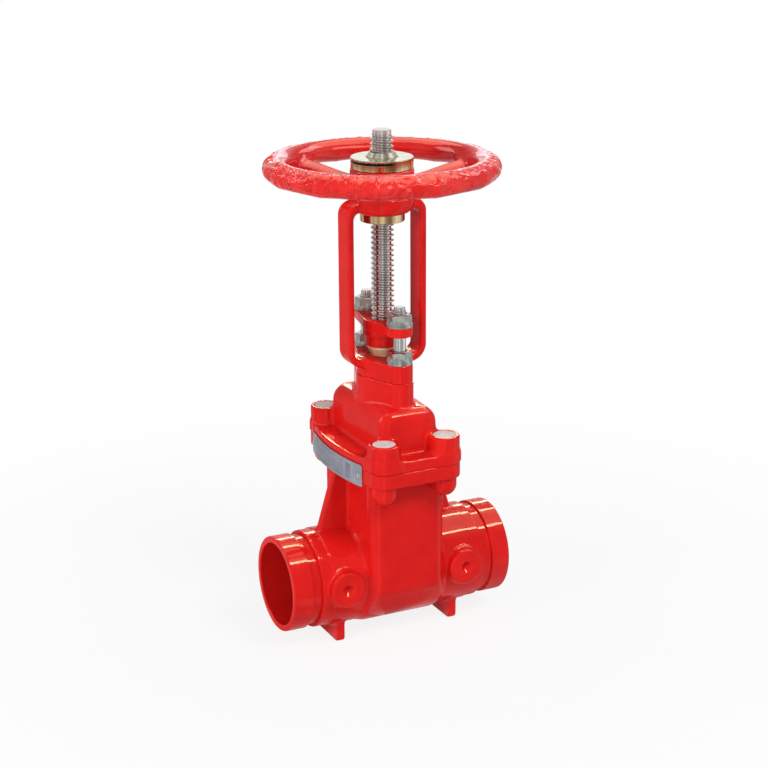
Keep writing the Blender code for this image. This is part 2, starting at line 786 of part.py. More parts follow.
def bonnet():
    top = above_axis(NECK_TOP)
    part = flange(above_axis(PARTING) + FIT, above_axis(PARTING + BONNET_FLANGE))
    union(part, dome())
    for place in bolt_places():
        union(part, cover_boss(place))
    neck = loft(
        [
            (neck_outline(), above_axis(DOME_TOP) - NECK_ROOT),
            (neck_outline(), top - NECK_EDGE),
            (neck_outline(NECK_EDGE), top),
        ]
    )
    union(part, neck, rod(STUFFING_OUTER, top - 2 * ROOT, above_axis(STUFFING_TOP), ROUND_SIDES))
    ceiling = above_axis(BONNET_CEILING)
    hollow = loft(
        [
            (hollow_outline(0), above_axis(PARTING) - PAST),
            (hollow_outline(0), ceiling - BONNET_CAVITY_CHAMFER),
            (hollow_outline(BONNET_CAVITY_CHAMFER), ceiling),
        ]
    )
    packing_bore = rod(
        STUFFING_INNER, above_axis(STUFFING_BOTTOM), above_axis(STUFFING_TOP) + PAST, ROUND_SIDES
    )
    bush_bore = rod(BACKSEAT_RADIUS + FIT, ceiling - PAST, top, ROUND_SIDES)
    cut(part, hollow, packing_bore, bush_bore)
    for place in bolt_places():
        here = (*place, 0)
        shank = rod(
            SCREW_RADIUS + FIT, above_axis(PARTING) - PAST, ceiling, SMALL_SIDES, centre=here
        )
        pocket = rod(COUNTERBORE_RADIUS, counterbore_bottom(), ceiling, ROUND_SIDES, centre=here)
        cut(part, shank, pocket)
    for side in (-1, 1):
        cut(part, stud_hole(side, above_axis(STUD_BOTTOM) - FIT, top + PAST))
    return part


def bonnet_gasket():
    low = above_axis(PARTING) - GASKET_GROOVE + FIT
    return ring_prism(
        gasket_path(GASKET_WIDTH / 2),
        gasket_path(-GASKET_WIDTH / 2),
        low,
        above_axis(PARTING),
    )


def cover_screw(place):
    """A socket head screw, its head sunk in the cover boss."""
    seat = counterbore_bottom() + FIT
    head = seat + SCREW_HEAD_HEIGHT
    profile = rounded(
        [
            (0, screw_bottom(), 0),
            (SCREW_RADIUS, screw_bottom(), 0),
            (SCREW_RADIUS, seat, 0),
            (SCREW_HEAD_RADIUS, seat, 0),
            (SCREW_HEAD_RADIUS, head, SCREW_EDGE),
            (0, head, 0),
        ],
        closed=False,
        steps=1,
    )
    screw = turned(profile, SMALL_SIDES, centre=(*place, 0))
    socket = prism(
        circle(SCREW_SOCKET / math.sqrt(3), 6, place), head - SCREW_SOCKET / 2, head + PAST
    )
    return cut(screw, socket)


def wax_plug(place):
    """The poured disc that fills the counterbore over a screw's head."""
    low = counterbore_bottom() + SCREW_HEAD_HEIGHT + 2 * FIT
    return rod(
        COUNTERBORE_RADIUS - FIT, low, above_axis(BOLT_BOSS_TOP) + WAX_RISE, ROUND_SIDES,
        centre=(*place, 0),
    )


# Yoke


def bowl():
    """The round head that holds the sleeve, swelling upwards to a straight lip."""
    bottom = above_axis(BOWL_BOTTOM)
    lip = above_axis(BOWL_TOP)
    profile = [(0, bottom)]
    for k in range(5):
        a = math.pi / 2 * k / 4
        radius = BOWL_LOWER_RADIUS + (BOWL_UPPER_RADIUS - BOWL_LOWER_RADIUS) * math.sin(a)
        profile.append((radius, bottom + BOWL_ROUND_HEIGHT * (1 - math.cos(a))))
    profile += [
        (BOWL_UPPER_RADIUS, lip - BOWL_EDGE),
        (BOWL_UPPER_RADIUS - BOWL_EDGE, lip),
        (0, lip),
    ]
    return turned(profile, ROUND_SIDES)


def yoke():
    base_low = above_axis(NECK_TOP) + FIT
    base_top = above_axis(YOKE_BASE_TOP)
    part = loft(
        [
            (neck_outline(NECK_EDGE), base_low),
            (neck_outline(), base_low + NECK_EDGE),
            (neck_outline(), base_top - NECK_EDGE),
            (neck_outline(NECK_EDGE), base_top),
        ]
    )
    low = base_top - LEG_FOOT_DROP
    bridge = above_axis(BRIDGE_TOP)
    frame = prism(
        rounded(
            [
                (-LEG_OUTER, low, LEG_LOWER_BEND),
                (LEG_OUTER, low, LEG_LOWER_BEND),
                (LEG_OUTER, bridge, LEG_UPPER_BEND),
                (-LEG_OUTER, bridge, LEG_UPPER_BEND),
            ],
            steps=5,
        ),
        -LEG_HALF_WIDTH,
        LEG_HALF_WIDTH,
        "Y",
    )
    window_low = base_top - FIT
    window_high = above_axis(BRIDGE_BOTTOM)
    window = prism(
        rounded(
            [
                (-LEG_INNER, window_low, WINDOW_CORNER),
                (LEG_INNER, window_low, WINDOW_CORNER),
                (LEG_INNER, window_high, WINDOW_CORNER),
                (-LEG_INNER, window_high, WINDOW_CORNER),
            ],
            steps=3,
        ),
        -2 * LEG_HALF_WIDTH,
        2 * LEG_HALF_WIDTH,
        "Y",
    )
    cut(frame, window)
    chamfer_edges(frame, LEG_EDGE, lambda p: abs(abs(p.y) - LEG_HALF_WIDTH) < 1e-5)
    union(part, frame)
    union(part, bowl())
    bowl_top = above_axis(BOWL_TOP)
    sleeve_bore = rod(SLEEVE_BODY + FIT, above_axis(BOWL_BOTTOM) - PAST, bowl_top, ROUND_SIDES)
    washer_seat = rod(
        WASHER_RADIUS + WASHER_SLACK, bowl_top - WASHER_SINK, bowl_top + PAST, ROUND_SIDES
    )
    spigot = rod(STUFFING_OUTER + FIT, base_low - PAST, above_axis(STUFFING_TOP) + FIT, ROUND_SIDES)
    bush_bore = rod(BUSH_SHOULDER + FIT, base_low, base_top + PAST, ROUND_SIDES)
    cut(part, sleeve_bore, washer_seat, spigot, bush_bore)
    for side in (-1, 1):
        cut(part, stud_hole(side, base_low - PAST, base_top + PAST))
    return part


# Gland, packing, studs and nuts


def gland_flange():
    """The follower: an oval bar over the studs with a barrel down its middle."""
    low = above_axis(GLAND_BOTTOM)
    top = above_axis(GLAND_TOP)
    full = lozenge(STUD_Y, GLAND_END_RADIUS, GLAND_WAIST_RADIUS, 5)
    inset = lozenge(STUD_Y, GLAND_END_RADIUS - GLAND_EDGE, GLAND_WAIST_RADIUS - GLAND_EDGE, 5)
    part = loft([(inset, low), (full, low + GLAND_EDGE), (full, top - GLAND_EDGE), (inset, top)])
    barrel_low = above_axis(BUSH_TOP) + FIT
    union(part, rod(GLAND_BARREL, barrel_low, low + ROOT, ROUND_SIDES))
    cut(part, rod(STEM_RADIUS + 2 * FIT, barrel_low - PAST, top + PAST, ROUND_SIDES))
    for side in (-1, 1):
        cut(part, stud_hole(side, low - PAST, top + PAST))
    return part


def packing_levels():
    """The heights between which the packing rings lie, from the bottom up."""
    low = above_axis(STUFFING_BOTTOM) + FIT
    top = above_axis(STUFFING_TOP) - BUSH_DEPTH
    step = (top - low) / PACKING_RINGS
    return [(low + k * step, low + (k + 1) * step - FIT) for k in range(PACKING_RINGS)]


def gland_bush():
    """The brass ring that the gland presses on the packing."""
    low = packing_levels()[-1][1] + FIT
    rim = above_axis(STUFFING_TOP)
    top = above_axis(BUSH_TOP)
    inner = STEM_RADIUS + FIT
    corners = [
        (inner, low, 0),
        (STUFFING_INNER - FIT, low, 0),
        (STUFFING_INNER - FIT, rim + BUSH_FLARE, 0),
        (BUSH_NECK, rim + 2 * BUSH_FLARE, 0),
        (BUSH_NECK, top - BUSH_RING_HEIGHT - BUSH_FLARE, 0),
        (BUSH_SHOULDER, top - BUSH_RING_HEIGHT, 0),
        (BUSH_SHOULDER, top, BUSH_EDGE),
        (inner, top, 0),
    ]
    return turned(rounded(corners, steps=1), ROUND_SIDES, ring=True)


def stem_bush():
    """The bush under the packing, whose lower edge is the backseat."""
    low = above_axis(BONNET_CEILING) + FIT
    high = above_axis(STUFFING_BOTTOM) - FIT
    return tube(STEM_RADIUS + FIT, BACKSEAT_RADIUS, low, high, ROUND_SIDES)


def packing_ring(low, high):
    return tube(STEM_RADIUS + FIT, STUFFING_INNER - FIT, low, high, ROUND_SIDES)


def gland_stud(side):
    return rod(
        STUD_RADIUS, above_axis(STUD_BOTTOM), above_axis(STUD_TOP), SMALL_SIDES,
        centre=(0, side * STUD_Y, 0), edge=STUD_EDGE,
    )


def flat_washer(side, low):
    return tube(
        STUD_RADIUS + FIT, NUT_WASHER_RADIUS, low, low + NUT_WASHER, SMALL_SIDES,
        centre=(0, side * STUD_Y, 0),
    )


def hexagon_nut(side, low):
    """A hexagon with its corners turned away at both ends."""
    corner = NUT_FLATS / math.sqrt(3)
    shape = prism(circle(corner, 6), low, low + NUT_HEIGHT)
    turn = turned(
        [
            (0, low),
            (NUT_FLATS / 2, low),
            (corner, low + NUT_CHAMFER),
            (corner, low + NUT_HEIGHT - NUT_CHAMFER),
            (NUT_FLATS / 2, low + NUT_HEIGHT),
            (0, low + NUT_HEIGHT),
        ],
        SMALL_SIDES,
    )
    common(shape, turn)
    cut(shape, rod(STUD_RADIUS + FIT, low - PAST, low + NUT_HEIGHT + PAST, SMALL_SIDES))
    shape.data.transform(Matrix.Translation((0, side * STUD_Y, 0)))
    return shape


# Yoke sleeve, handwheel and wheel nut


def key_space(grow):
    """The key's box on the sleeve's +X side, grown by a clearance."""
    half = KEY_WIDTH / 2
    low = above_axis(HUB_BOTTOM) + KEY_LIFT
    outline = [
        (SLEEVE_HUB - half - grow, -half - grow),
        (SLEEVE_HUB + half + grow, -half - grow),
        (SLEEVE_HUB + half + grow, half + grow),
        (SLEEVE_HUB - half - grow, half + grow),
    ]
    return prism(outline, low - grow, low + KEY_LENGTH + grow)


def yoke_sleeve():
    """The stem's nut: it turns in the yoke's bowl and carries the wheel on its upper end."""
    flange_top = above_axis(BOWL_BOTTOM) - FIT
    low = flange_top - SLEEVE_FLANGE_HEIGHT
    hub_low = above_axis(HUB_BOTTOM) - FIT
    thread_low = above_axis(HUB_TOP) - SLEEVE_EDGE
    top = above_axis(SLEEVE_TOP)
    inner = STEM_RADIUS + FIT
    corners = [
        (inner, low, 0),
        (SLEEVE_FLANGE, low, SLEEVE_EDGE),
        (SLEEVE_FLANGE, flange_top, 0),
        (SLEEVE_BODY, flange_top, 0),
        (SLEEVE_BODY, hub_low, 0),
        (SLEEVE_HUB, hub_low, 0),
        (SLEEVE_HUB, thread_low, 0),
        (SLEEVE_THREAD, thread_low, 0),
        (SLEEVE_THREAD, top - SLEEVE_CONE_HEIGHT, 0),
        (SLEEVE_THREAD - SLEEVE_CONE, top, 0),
        (inner, top, 0),
    ]
    sleeve = turned(rounded(corners, steps=1), ROUND_SIDES, ring=True)
    return cut(sleeve, key_space(FIT))


def thrust_washer():
    low = above_axis(BOWL_TOP) - WASHER_SINK + FIT
    return tube(SLEEVE_BODY + FIT, WASHER_RADIUS, low, low + WASHER_THICKNESS, ROUND_SIDES)


def rim():
    """The wheel's ring. Its underside is drawn in at twelve places for the fingers."""
    shape = bmesh.new()
    rings = []
    for i in range(RIM_SIDES):
        theta = 2 * math.pi * i / RIM_SIDES
        from_pinch = abs(math.sin(theta * RIM_GRIPS / 2))
        pinch = RIM_GRIP_DEPTH * (1 - from_pinch ** 0.6)
        ring = []
        for j in range(RIM_SECTION_SIDES):
            psi = 2 * math.pi * j / RIM_SECTION_SIDES
            across = math.cos(psi)
            up = math.sin(psi)
            grip = pinch * max(0.0, 0.6 * across - 0.8 * up)
            radius = WHEEL_RADIUS + (RIM_HALF_WIDTH - grip) * across
            level = (RIM_HALF_HEIGHT - grip) * up
            ring.append(shape.verts.new((radius * math.cos(theta), radius * math.sin(theta), level)))
        rings.append(ring)
    for i in range(RIM_SIDES):
        for j in range(RIM_SECTION_SIDES):
            shape.faces.new((rings[i - 1][j - 1], rings[i][j - 1], rings[i][j], rings[i - 1][j]))
    bmesh.ops.translate(shape, verts=shape.verts, vec=(0, 0, above_axis(RIM_HEIGHT)))
    return add_object(shape)


def spoke(angle):
    """An oval arm that falls from the rim to the hub, widest at its root."""
    root = SLEEVE_HUB + ROOT
    tip = WHEEL_RADIUS - ROOT
    root_level = above_axis(HUB_TOP) - SPOKE_HUB_DROP
    tip_level = above_axis(RIM_HEIGHT) - SPOKE_RIM_DROP
    shape = bmesh.new()
    rings = []
    for k in range(SPOKE_STEPS + 1):
        share = k / SPOKE_STEPS
        out = root + (tip - root) * share
        ease = share * share * (3 - 2 * share)
        level = root_level + (tip_level - root_level) * ease
        high = SPOKE_HUB_HALF_HEIGHT + (SPOKE_RIM_HALF_HEIGHT - SPOKE_HUB_HALF_HEIGHT) * ease
        wide = SPOKE_HALF_WIDTH * (1.15 - 0.25 * math.sin(math.pi * share))
        ring = []
        for j in range(SPOKE_SIDES):
            psi = 2 * math.pi * (j + 0.5) / SPOKE_SIDES
            y = wide * math.copysign(abs(math.cos(psi)) ** 0.8, math.cos(psi))
            z = level + high * math.copysign(abs(math.sin(psi)) ** 0.8, math.sin(psi))
            ring.append(shape.verts.new((out, y, z)))
        rings.append(ring)
    for lower, upper in zip(rings, rings[1:]):
        for k in range(SPOKE_SIDES):
            shape.faces.new((lower[k - 1], lower[k], upper[k], upper[k - 1]))
    shape.faces.new(rings[0])
    shape.faces.new(rings[-1])
    bmesh.ops.rotate(
        shape, verts=shape.verts, cent=(0, 0, 0), matrix=Matrix.Rotation(math.radians(angle), 3, "Z")
    )
    return add_object(shape)


def handwheel():
    low = above_axis(HUB_BOTTOM)
    top = above_axis(HUB_TOP)
    hub = turned(
        rounded(
            [
                (0, low, 0),
                (HUB_RADIUS - HUB_DRAWN_IN, low, HUB_EDGE),
                (HUB_RADIUS, low + HUB_TAPER_HEIGHT, 2 * HUB_EDGE),
                (HUB_RADIUS, top, HUB_EDGE),
                (0, top, 0),
            ],
            closed=False,
            steps=2,
        ),
        ROUND_SIDES,
    )
    for k in range(SPOKES):
        union(hub, spoke(360 * k / SPOKES))
    wheel = union(rim(), hub)
    wheel.data.transform(Matrix.Rotation(math.radians(WHEEL_ANGLE), 4, "Z"))
    cut(wheel, rod(SLEEVE_HUB + FIT, low - PAST, top + PAST, ROUND_SIDES), key_space(FIT))
    return wheel


def drive_key():
    return key_space(0)


def wheel_nut():
    """A round nut, sawn part way through so that a little pressure locks its thread."""
    low = above_axis(HUB_TOP) + FIT
    top = above_axis(WHEEL_NUT_TOP)
    nut = turned(
        rounded(
            [
                (SLEEVE_THREAD + FIT, low, 0),
                (WHEEL_NUT_RADIUS, low, 0),
                (WHEEL_NUT_RADIUS, top, WHEEL_NUT_EDGE),
                (SLEEVE_THREAD + FIT, top, 0),
            ],
            steps=1,
        ),
        PIPE_SIDES,
        ring=True,
    )
    slit_low = top - SLIT_DEPTH - SLIT_WIDTH / 2
    far = 2 * WHEEL_NUT_RADIUS
    saw = prism(
        [(-far, -far), (SLIT_REACH, -far), (SLIT_REACH, far), (-far, far)], slit_low, slit_low + SLIT_WIDTH
    )
    saw.data.transform(Matrix.Rotation(math.radians(SLIT_ANGLE), 4, "Z"))
    return cut(nut, saw)


# Stem and gate


def stem():
    low = above_axis(HEAD_TOP) - ROOT
    top = above_axis(STEM_TOP)
    nose = top - STEM_NOSE_LENGTH
    shoulder = above_axis(LUG_TOP) + NECK_SHOWING
    seat = above_axis(BONNET_CEILING) - LIFT - BACKSEAT_SLACK
    collar = seat - BACKSEAT_HEIGHT
    profile = [
        (0, low),
        (NECK_RADIUS, low),
        (NECK_RADIUS, shoulder),
        (STEM_RADIUS, shoulder),
        (STEM_RADIUS, collar),
        (BACKSEAT_RADIUS, collar),
        (BACKSEAT_RADIUS, seat - BACKSEAT_BEVEL),
        (STEM_RADIUS, seat),
        (STEM_RADIUS, nose - STEM_RADIUS + STEM_NOSE_RADIUS),
        (STEM_NOSE_RADIUS, nose),
        (STEM_NOSE_RADIUS, top),
        (0, top),
    ]
    part = turned(profile, ROUND_SIDES)
    head = prism(
        box_outline(LUG_HALF_X - FIT, HEAD_HALF_Y, GATE_CORNER, steps=2),
        above_axis(HEAD_BOTTOM),
        above_axis(HEAD_TOP),
    )
    return union(part, head)


def gate_outline(inset):
    """The gate seen along the pipe: round below, straight sides, round shoulders."""
    radius = SLOT_RADIUS - FIT - inset
    bottom = arc((0, AXIS_HEIGHT), radius, 180, 360, 20)
    top = above_axis(GATE_TOP) - inset
    corner = GATE_TOP - GATE_SHOULDER
    right = arc((radius - corner, top - corner), corner, 0, 90, 4)
    return bottom + right + [(-y, z) for y, z in reversed(right)]


def gate_slab(inset):
    outline = gate_outline(inset)
    low = -SLOT_RADIUS
    high = GATE_TOP
    return tapered_slab(
        outline,
        slot_half(low) - FIT - inset,
        slot_half(high) - FIT - inset,
        above_axis(low),
        above_axis(high),
    )


def gate_core():
    """The iron wedge, with a slotted lug for the stem's head and an ear at each side."""
    core = gate_slab(RUBBER + FIT)
    lug = prism(
        box_outline(LUG_HALF_X, LUG_HALF_Y, GATE_CORNER, steps=2),
        above_axis(GATE_TOP) - 15 * MM,
        above_axis(LUG_TOP),
    )
    ears = prism(
        box_outline(EAR_HALF_X, EAR_REACH, 0.6 * MM, steps=1),
        above_axis(EAR_BOTTOM),
        above_axis(EAR_TOP),
    )
    union(core, lug, ears)
    far = 3 * LUG_HALF_X
    head_slot = prism(
        [
            (-HEAD_HALF_Y - FIT, above_axis(HEAD_BOTTOM) - FIT),
            (HEAD_HALF_Y + FIT, above_axis(HEAD_BOTTOM) - FIT),
            (HEAD_HALF_Y + FIT, above_axis(HEAD_TOP) + FIT),
            (NECK_RADIUS + FIT, above_axis(HEAD_TOP) + FIT),
            (NECK_RADIUS + FIT, above_axis(LUG_TOP) + PAST),
            (-NECK_RADIUS - FIT, above_axis(LUG_TOP) + PAST),
            (-NECK_RADIUS - FIT, above_axis(HEAD_TOP) + FIT),
            (-HEAD_HALF_Y - FIT, above_axis(HEAD_TOP) + FIT),
        ],
        -far,
        far,
        "X",
    )
    return cut(core, head_slot)


def gate_rubber():
    """The vulcanised coat round the wedge, open above for the lug and at the ears."""
    coat = gate_slab(0)
    lug_hole = prism(
        box_outline(LUG_HALF_X + FIT, LUG_HALF_Y + FIT, 0),
        above_axis(GATE_TOP) - 20 * MM,
        above_axis(GATE_TOP) + 10 * MM,
    )
    ear_slot = prism(
        box_outline(EAR_HALF_X + FIT, EAR_REACH + PAST, 0),
        above_axis(EAR_BOTTOM) - FIT,
        above_axis(EAR_TOP) + FIT,
    )
    return cut(coat, gate_slab(RUBBER), lug_hole, ear_slot)


def guide_shoe(side):
    """The plastic slipper on an ear, which slides in the body's guide."""
    inner_y = SLOT_RADIUS
    pocket_y = EAR_REACH + FIT
    inside = EAR_HALF_X + FIT
    outline = [
        (-SHOE_HALF_X, inner_y),
        (-inside, inner_y),
        (-inside, pocket_y),
        (inside, pocket_y),
        (inside, inner_y),
        (SHOE_HALF_X, inner_y),
        (SHOE_HALF_X, SHOE_REACH),
        (-SHOE_HALF_X, SHOE_REACH),
    ]
    return prism([(x, side * y) for x, y in outline], above_axis(EAR_BOTTOM), above_axis(EAR_TOP))


# Nameplate


def plate_band(inner, outer, half_angle):
    """A curved strip on the flange's bowed -X side."""
    centre = (FLANGE_SIDE_RADIUS - FLANGE_HALF_X, 0)
    points = arc(centre, inner, 180 - half_angle, 180 + half_angle, 8)
    return points + arc(centre, outer, 180 + half_angle, 180 - half_angle, 8)


def rivet_place(side, radius):
    a = math.radians(180 + side * RIVET_ANGLE)
    centre = FLANGE_SIDE_RADIUS - FLANGE_HALF_X
    return Vector((centre + radius * math.cos(a), radius * math.sin(a), above_axis(RIVET_LIFT))), a


def pin(side, radius, inner, outer, count=12):
    """A round bar on the flange's radius through a rivet's place."""
    start, a = rivet_place(side, inner)
    shape = rod(radius, 0, outer - inner, count)
    turn = Matrix.Rotation(a, 4, "Z") @ Matrix.Rotation(math.pi / 2, 4, "Y")
    shape.data.transform(Matrix.Translation(start) @ turn)
    return shape


def nameplate():
    inner = FLANGE_SIDE_RADIUS + FIT
    outer = inner + PLATE_THICKNESS
    plate = prism(
        plate_band(inner, outer, PLATE_HALF_ANGLE), above_axis(PLATE_BOTTOM), above_axis(PLATE_TOP)
    )
    for side in (-1, 1):
        cut(plate, pin(side, RIVET_RADIUS + FIT, inner - PAST, outer + PAST))
    return plate


def rivet(side):
    face = FLANGE_SIDE_RADIUS + FIT + PLATE_THICKNESS + FIT
    start, a = rivet_place(side, FLANGE_SIDE_RADIUS - RIVET_DEPTH)
    length = face - (FLANGE_SIDE_RADIUS - RIVET_DEPTH)
    profile = rounded(
        [
            (0, 0, 0),
            (RIVET_RADIUS, 0, 0),
            (RIVET_RADIUS, length, 0),
            (RIVET_HEAD, length, 0),
            (RIVET_HEAD, length + RIVET_HEAD_HEIGHT, 1.0 * MM),
            (0, length + RIVET_HEAD_HEIGHT, 0),
        ],
        closed=False,
        steps=1,
    )
    shape = turned(profile, 12)
    turn = Matrix.Rotation(a, 4, "Z") @ Matrix.Rotation(math.pi / 2, 4, "Y")
    shape.data.transform(Matrix.Translation(start) @ turn)
    return shape


def rivet_hole(side):
    return pin(side, RIVET_RADIUS + FIT, FLANGE_SIDE_RADIUS - RIVET_DEPTH - FIT, FLANGE_SIDE_RADIUS + PAST)


# Assembly


def axis_empty(name, height):
    empty = bpy.data.objects.new(name, None)
    bpy.context.scene.collection.objects.link(empty)
    empty.location = (0, 0, height)
    bpy.context.view_layer.update()
    return empty


def ride_with(obj, empty):
    """Parents a piece to its axis without moving it."""
    obj.parent = empty
    obj.matrix_parent_inverse = empty.matrix_world.inverted()


def build():
    for obj in list(bpy.data.objects):
        bpy.data.objects.remove(obj)

    red = material("red_epoxy", (0.60, 0.016, 0.012), 0.22)
    steel = material("stainless_steel", (0.62, 0.61, 0.59), 0.22, 1.0)
    zinc = material("zinc_steel", (0.50, 0.51, 0.52), 0.36, 1.0)
    brass = material("brass", (0.76, 0.56, 0.26), 0.26, 1.0)
    black = material("black_rubber", (0.02, 0.02, 0.02), 0.6)
    graphite = material("packing", (0.09, 0.09, 0.095), 0.55)
    wax = material("white_wax", (0.82, 0.80, 0.76), 0.45)
    aluminium = material("plate_aluminium", (0.55, 0.56, 0.57), 0.35, 1.0)
    iron = material("gate_iron", (0.10, 0.10, 0.10), 0.5, 1.0)
    plastic = material("guide_plastic", (0.75, 0.73, 0.66), 0.5)

    wheel_axis = axis_empty("wheel_axis", above_axis(RIM_HEIGHT))
    stem_axis = axis_empty("stem_axis", AXIS_HEIGHT)

    body = valve_body()
    cut(body, rivet_hole(-1), rivet_hole(1))
    node(body, "valve_body", red)
    node(bonnet(), "bonnet", red)
    node(bonnet_gasket(), "bonnet_gasket", black)
    node(yoke(), "yoke", red)
    node(nameplate(), "nameplate", aluminium)
    for k, place in enumerate(bolt_places(), 1):
        node(cover_screw(place), f"cover_screw_{k}", zinc)
        node(wax_plug(place), f"wax_plug_{k}", wax)
    for side, where in ((-1, "near"), (1, "far")):
        node(rivet(side), f"plate_rivet_{where}", aluminium)
        node(gland_stud(side), f"gland_stud_{where}", zinc)
        low = above_axis(YOKE_BASE_TOP) + FIT
        node(flat_washer(side, low), f"yoke_washer_{where}", zinc)
        node(hexagon_nut(side, low + NUT_WASHER + FIT), f"yoke_nut_{where}", zinc)
        low = above_axis(GLAND_TOP) + FIT
        node(flat_washer(side, low), f"gland_washer_{where}", zinc)
        node(hexagon_nut(side, low + NUT_WASHER + FIT), f"gland_nut_{where}", zinc)
    node(gland_flange(), "gland_flange", red)
    node(gland_bush(), "gland_bush", brass)
    node(stem_bush(), "stem_bush", brass)
    for k, (low, high) in enumerate(packing_levels(), 1):
        node(packing_ring(low, high), f"packing_ring_{k}", graphite)
    node(thrust_washer(), "thrust_washer", brass)

    for shape, name, finish in (
        (yoke_sleeve(), "yoke_sleeve", brass),
        (handwheel(), "handwheel", red),
        (drive_key(), "drive_key", steel),
        (wheel_nut(), "wheel_nut", brass),
    ):
        ride_with(node(shape, name, finish), wheel_axis)
    for shape, name, finish in (
        (stem(), "stem", steel),
        (gate_core(), "gate_core", iron),
        (gate_rubber(), "gate_rubber", black),
        (guide_shoe(-1), "guide_shoe_near", plastic),
        (guide_shoe(1), "guide_shoe_far", plastic),
    ):
        ride_with(node(shape, name, finish), stem_axis)


build()
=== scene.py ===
# Outside screw and yoke gate valve with grooved ends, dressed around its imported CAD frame.
import math

import bmesh
import bpy
import numpy as np
from mathutils import Matrix, Vector


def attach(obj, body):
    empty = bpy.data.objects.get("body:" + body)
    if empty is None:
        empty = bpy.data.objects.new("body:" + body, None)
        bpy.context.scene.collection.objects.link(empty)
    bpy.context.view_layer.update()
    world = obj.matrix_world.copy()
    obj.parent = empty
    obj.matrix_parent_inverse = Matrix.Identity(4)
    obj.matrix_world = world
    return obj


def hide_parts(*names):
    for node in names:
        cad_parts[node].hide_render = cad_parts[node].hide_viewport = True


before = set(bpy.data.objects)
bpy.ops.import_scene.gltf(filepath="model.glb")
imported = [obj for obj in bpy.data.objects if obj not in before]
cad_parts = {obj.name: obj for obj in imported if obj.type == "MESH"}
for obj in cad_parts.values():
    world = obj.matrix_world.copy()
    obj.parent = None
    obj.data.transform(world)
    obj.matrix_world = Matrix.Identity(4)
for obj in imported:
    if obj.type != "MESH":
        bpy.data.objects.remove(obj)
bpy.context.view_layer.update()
print("frame loaded")

# Sizes below are in millimetres, heights from the pipe's axis
mm = 0.001
axisLift = 49.5  # the pipe's axis above the floor
turn = 2 * math.pi


# ---- fields: distance to a shape, below zero inside it


def reach(a, b):
    return np.sqrt(a * a + b * b)


def joinRound(a, b, r):  # both shapes, with a fillet of radius r between them
    return np.maximum(r, np.minimum(a, b)) - reach(np.maximum(r - a, 0), np.maximum(r - b, 0))


def meetRound(a, b, r):  # what both shapes hold, its edge rounded to r
    return np.minimum(-r, np.maximum(a, b)) + reach(np.maximum(r + a, 0), np.maximum(r + b, 0))


def cutRound(a, b, r):  # a without b
    return meetRound(a, -b, r)


def between(v, low, high):
    return np.abs(v - (low + high) / 2) - (high - low) / 2


def roundedRectangle(u, v, halfU, halfV, corner):
    pastU = np.abs(u) - halfU + corner
    pastV = np.abs(v) - halfV + corner
    outer = reach(np.maximum(pastU, 0), np.maximum(pastV, 0))
    return outer + np.minimum(np.maximum(pastU, pastV), 0) - corner


def ovalBar(x, y, offset, endRadius, waistRadius):  # a round waist, drawn out along Y to smaller ends
    u, v = np.abs(x), np.abs(y)
    lean = (waistRadius - endRadius) / offset
    upright = math.sqrt(1 - lean * lean)
    side = -u * lean + v * upright
    atWaist = reach(u, v) - waistRadius
    atEnd = reach(u, v - offset) - endRadius
    flank = u * upright + v * lean - waistRadius
    return np.where(side < 0, atWaist, np.where(side > upright * offset, atEnd, flank))


# ---- meshes


def addMesh(name, points, faces, smooth=True):
    mesh = bpy.data.meshes.new(name)
    points = np.asarray(points, float)
    if isinstance(faces, np.ndarray):
        mesh.vertices.add(len(points))
        mesh.vertices.foreach_set("co", points.ravel())
        mesh.loops.add(faces.size)
        mesh.loops.foreach_set("vertex_index", faces.ravel())
        mesh.polygons.add(len(faces))
        mesh.polygons.foreach_set("loop_start", np.arange(0, faces.size, faces.shape[1]))
        mesh.update(calc_edges=True)
    else:
        mesh.from_pydata(points.tolist(), [], faces)
    if smooth:
        mesh.shade_smooth()
    piece = bpy.data.objects.new(name, mesh)
    bpy.context.scene.collection.objects.link(piece)
    return piece


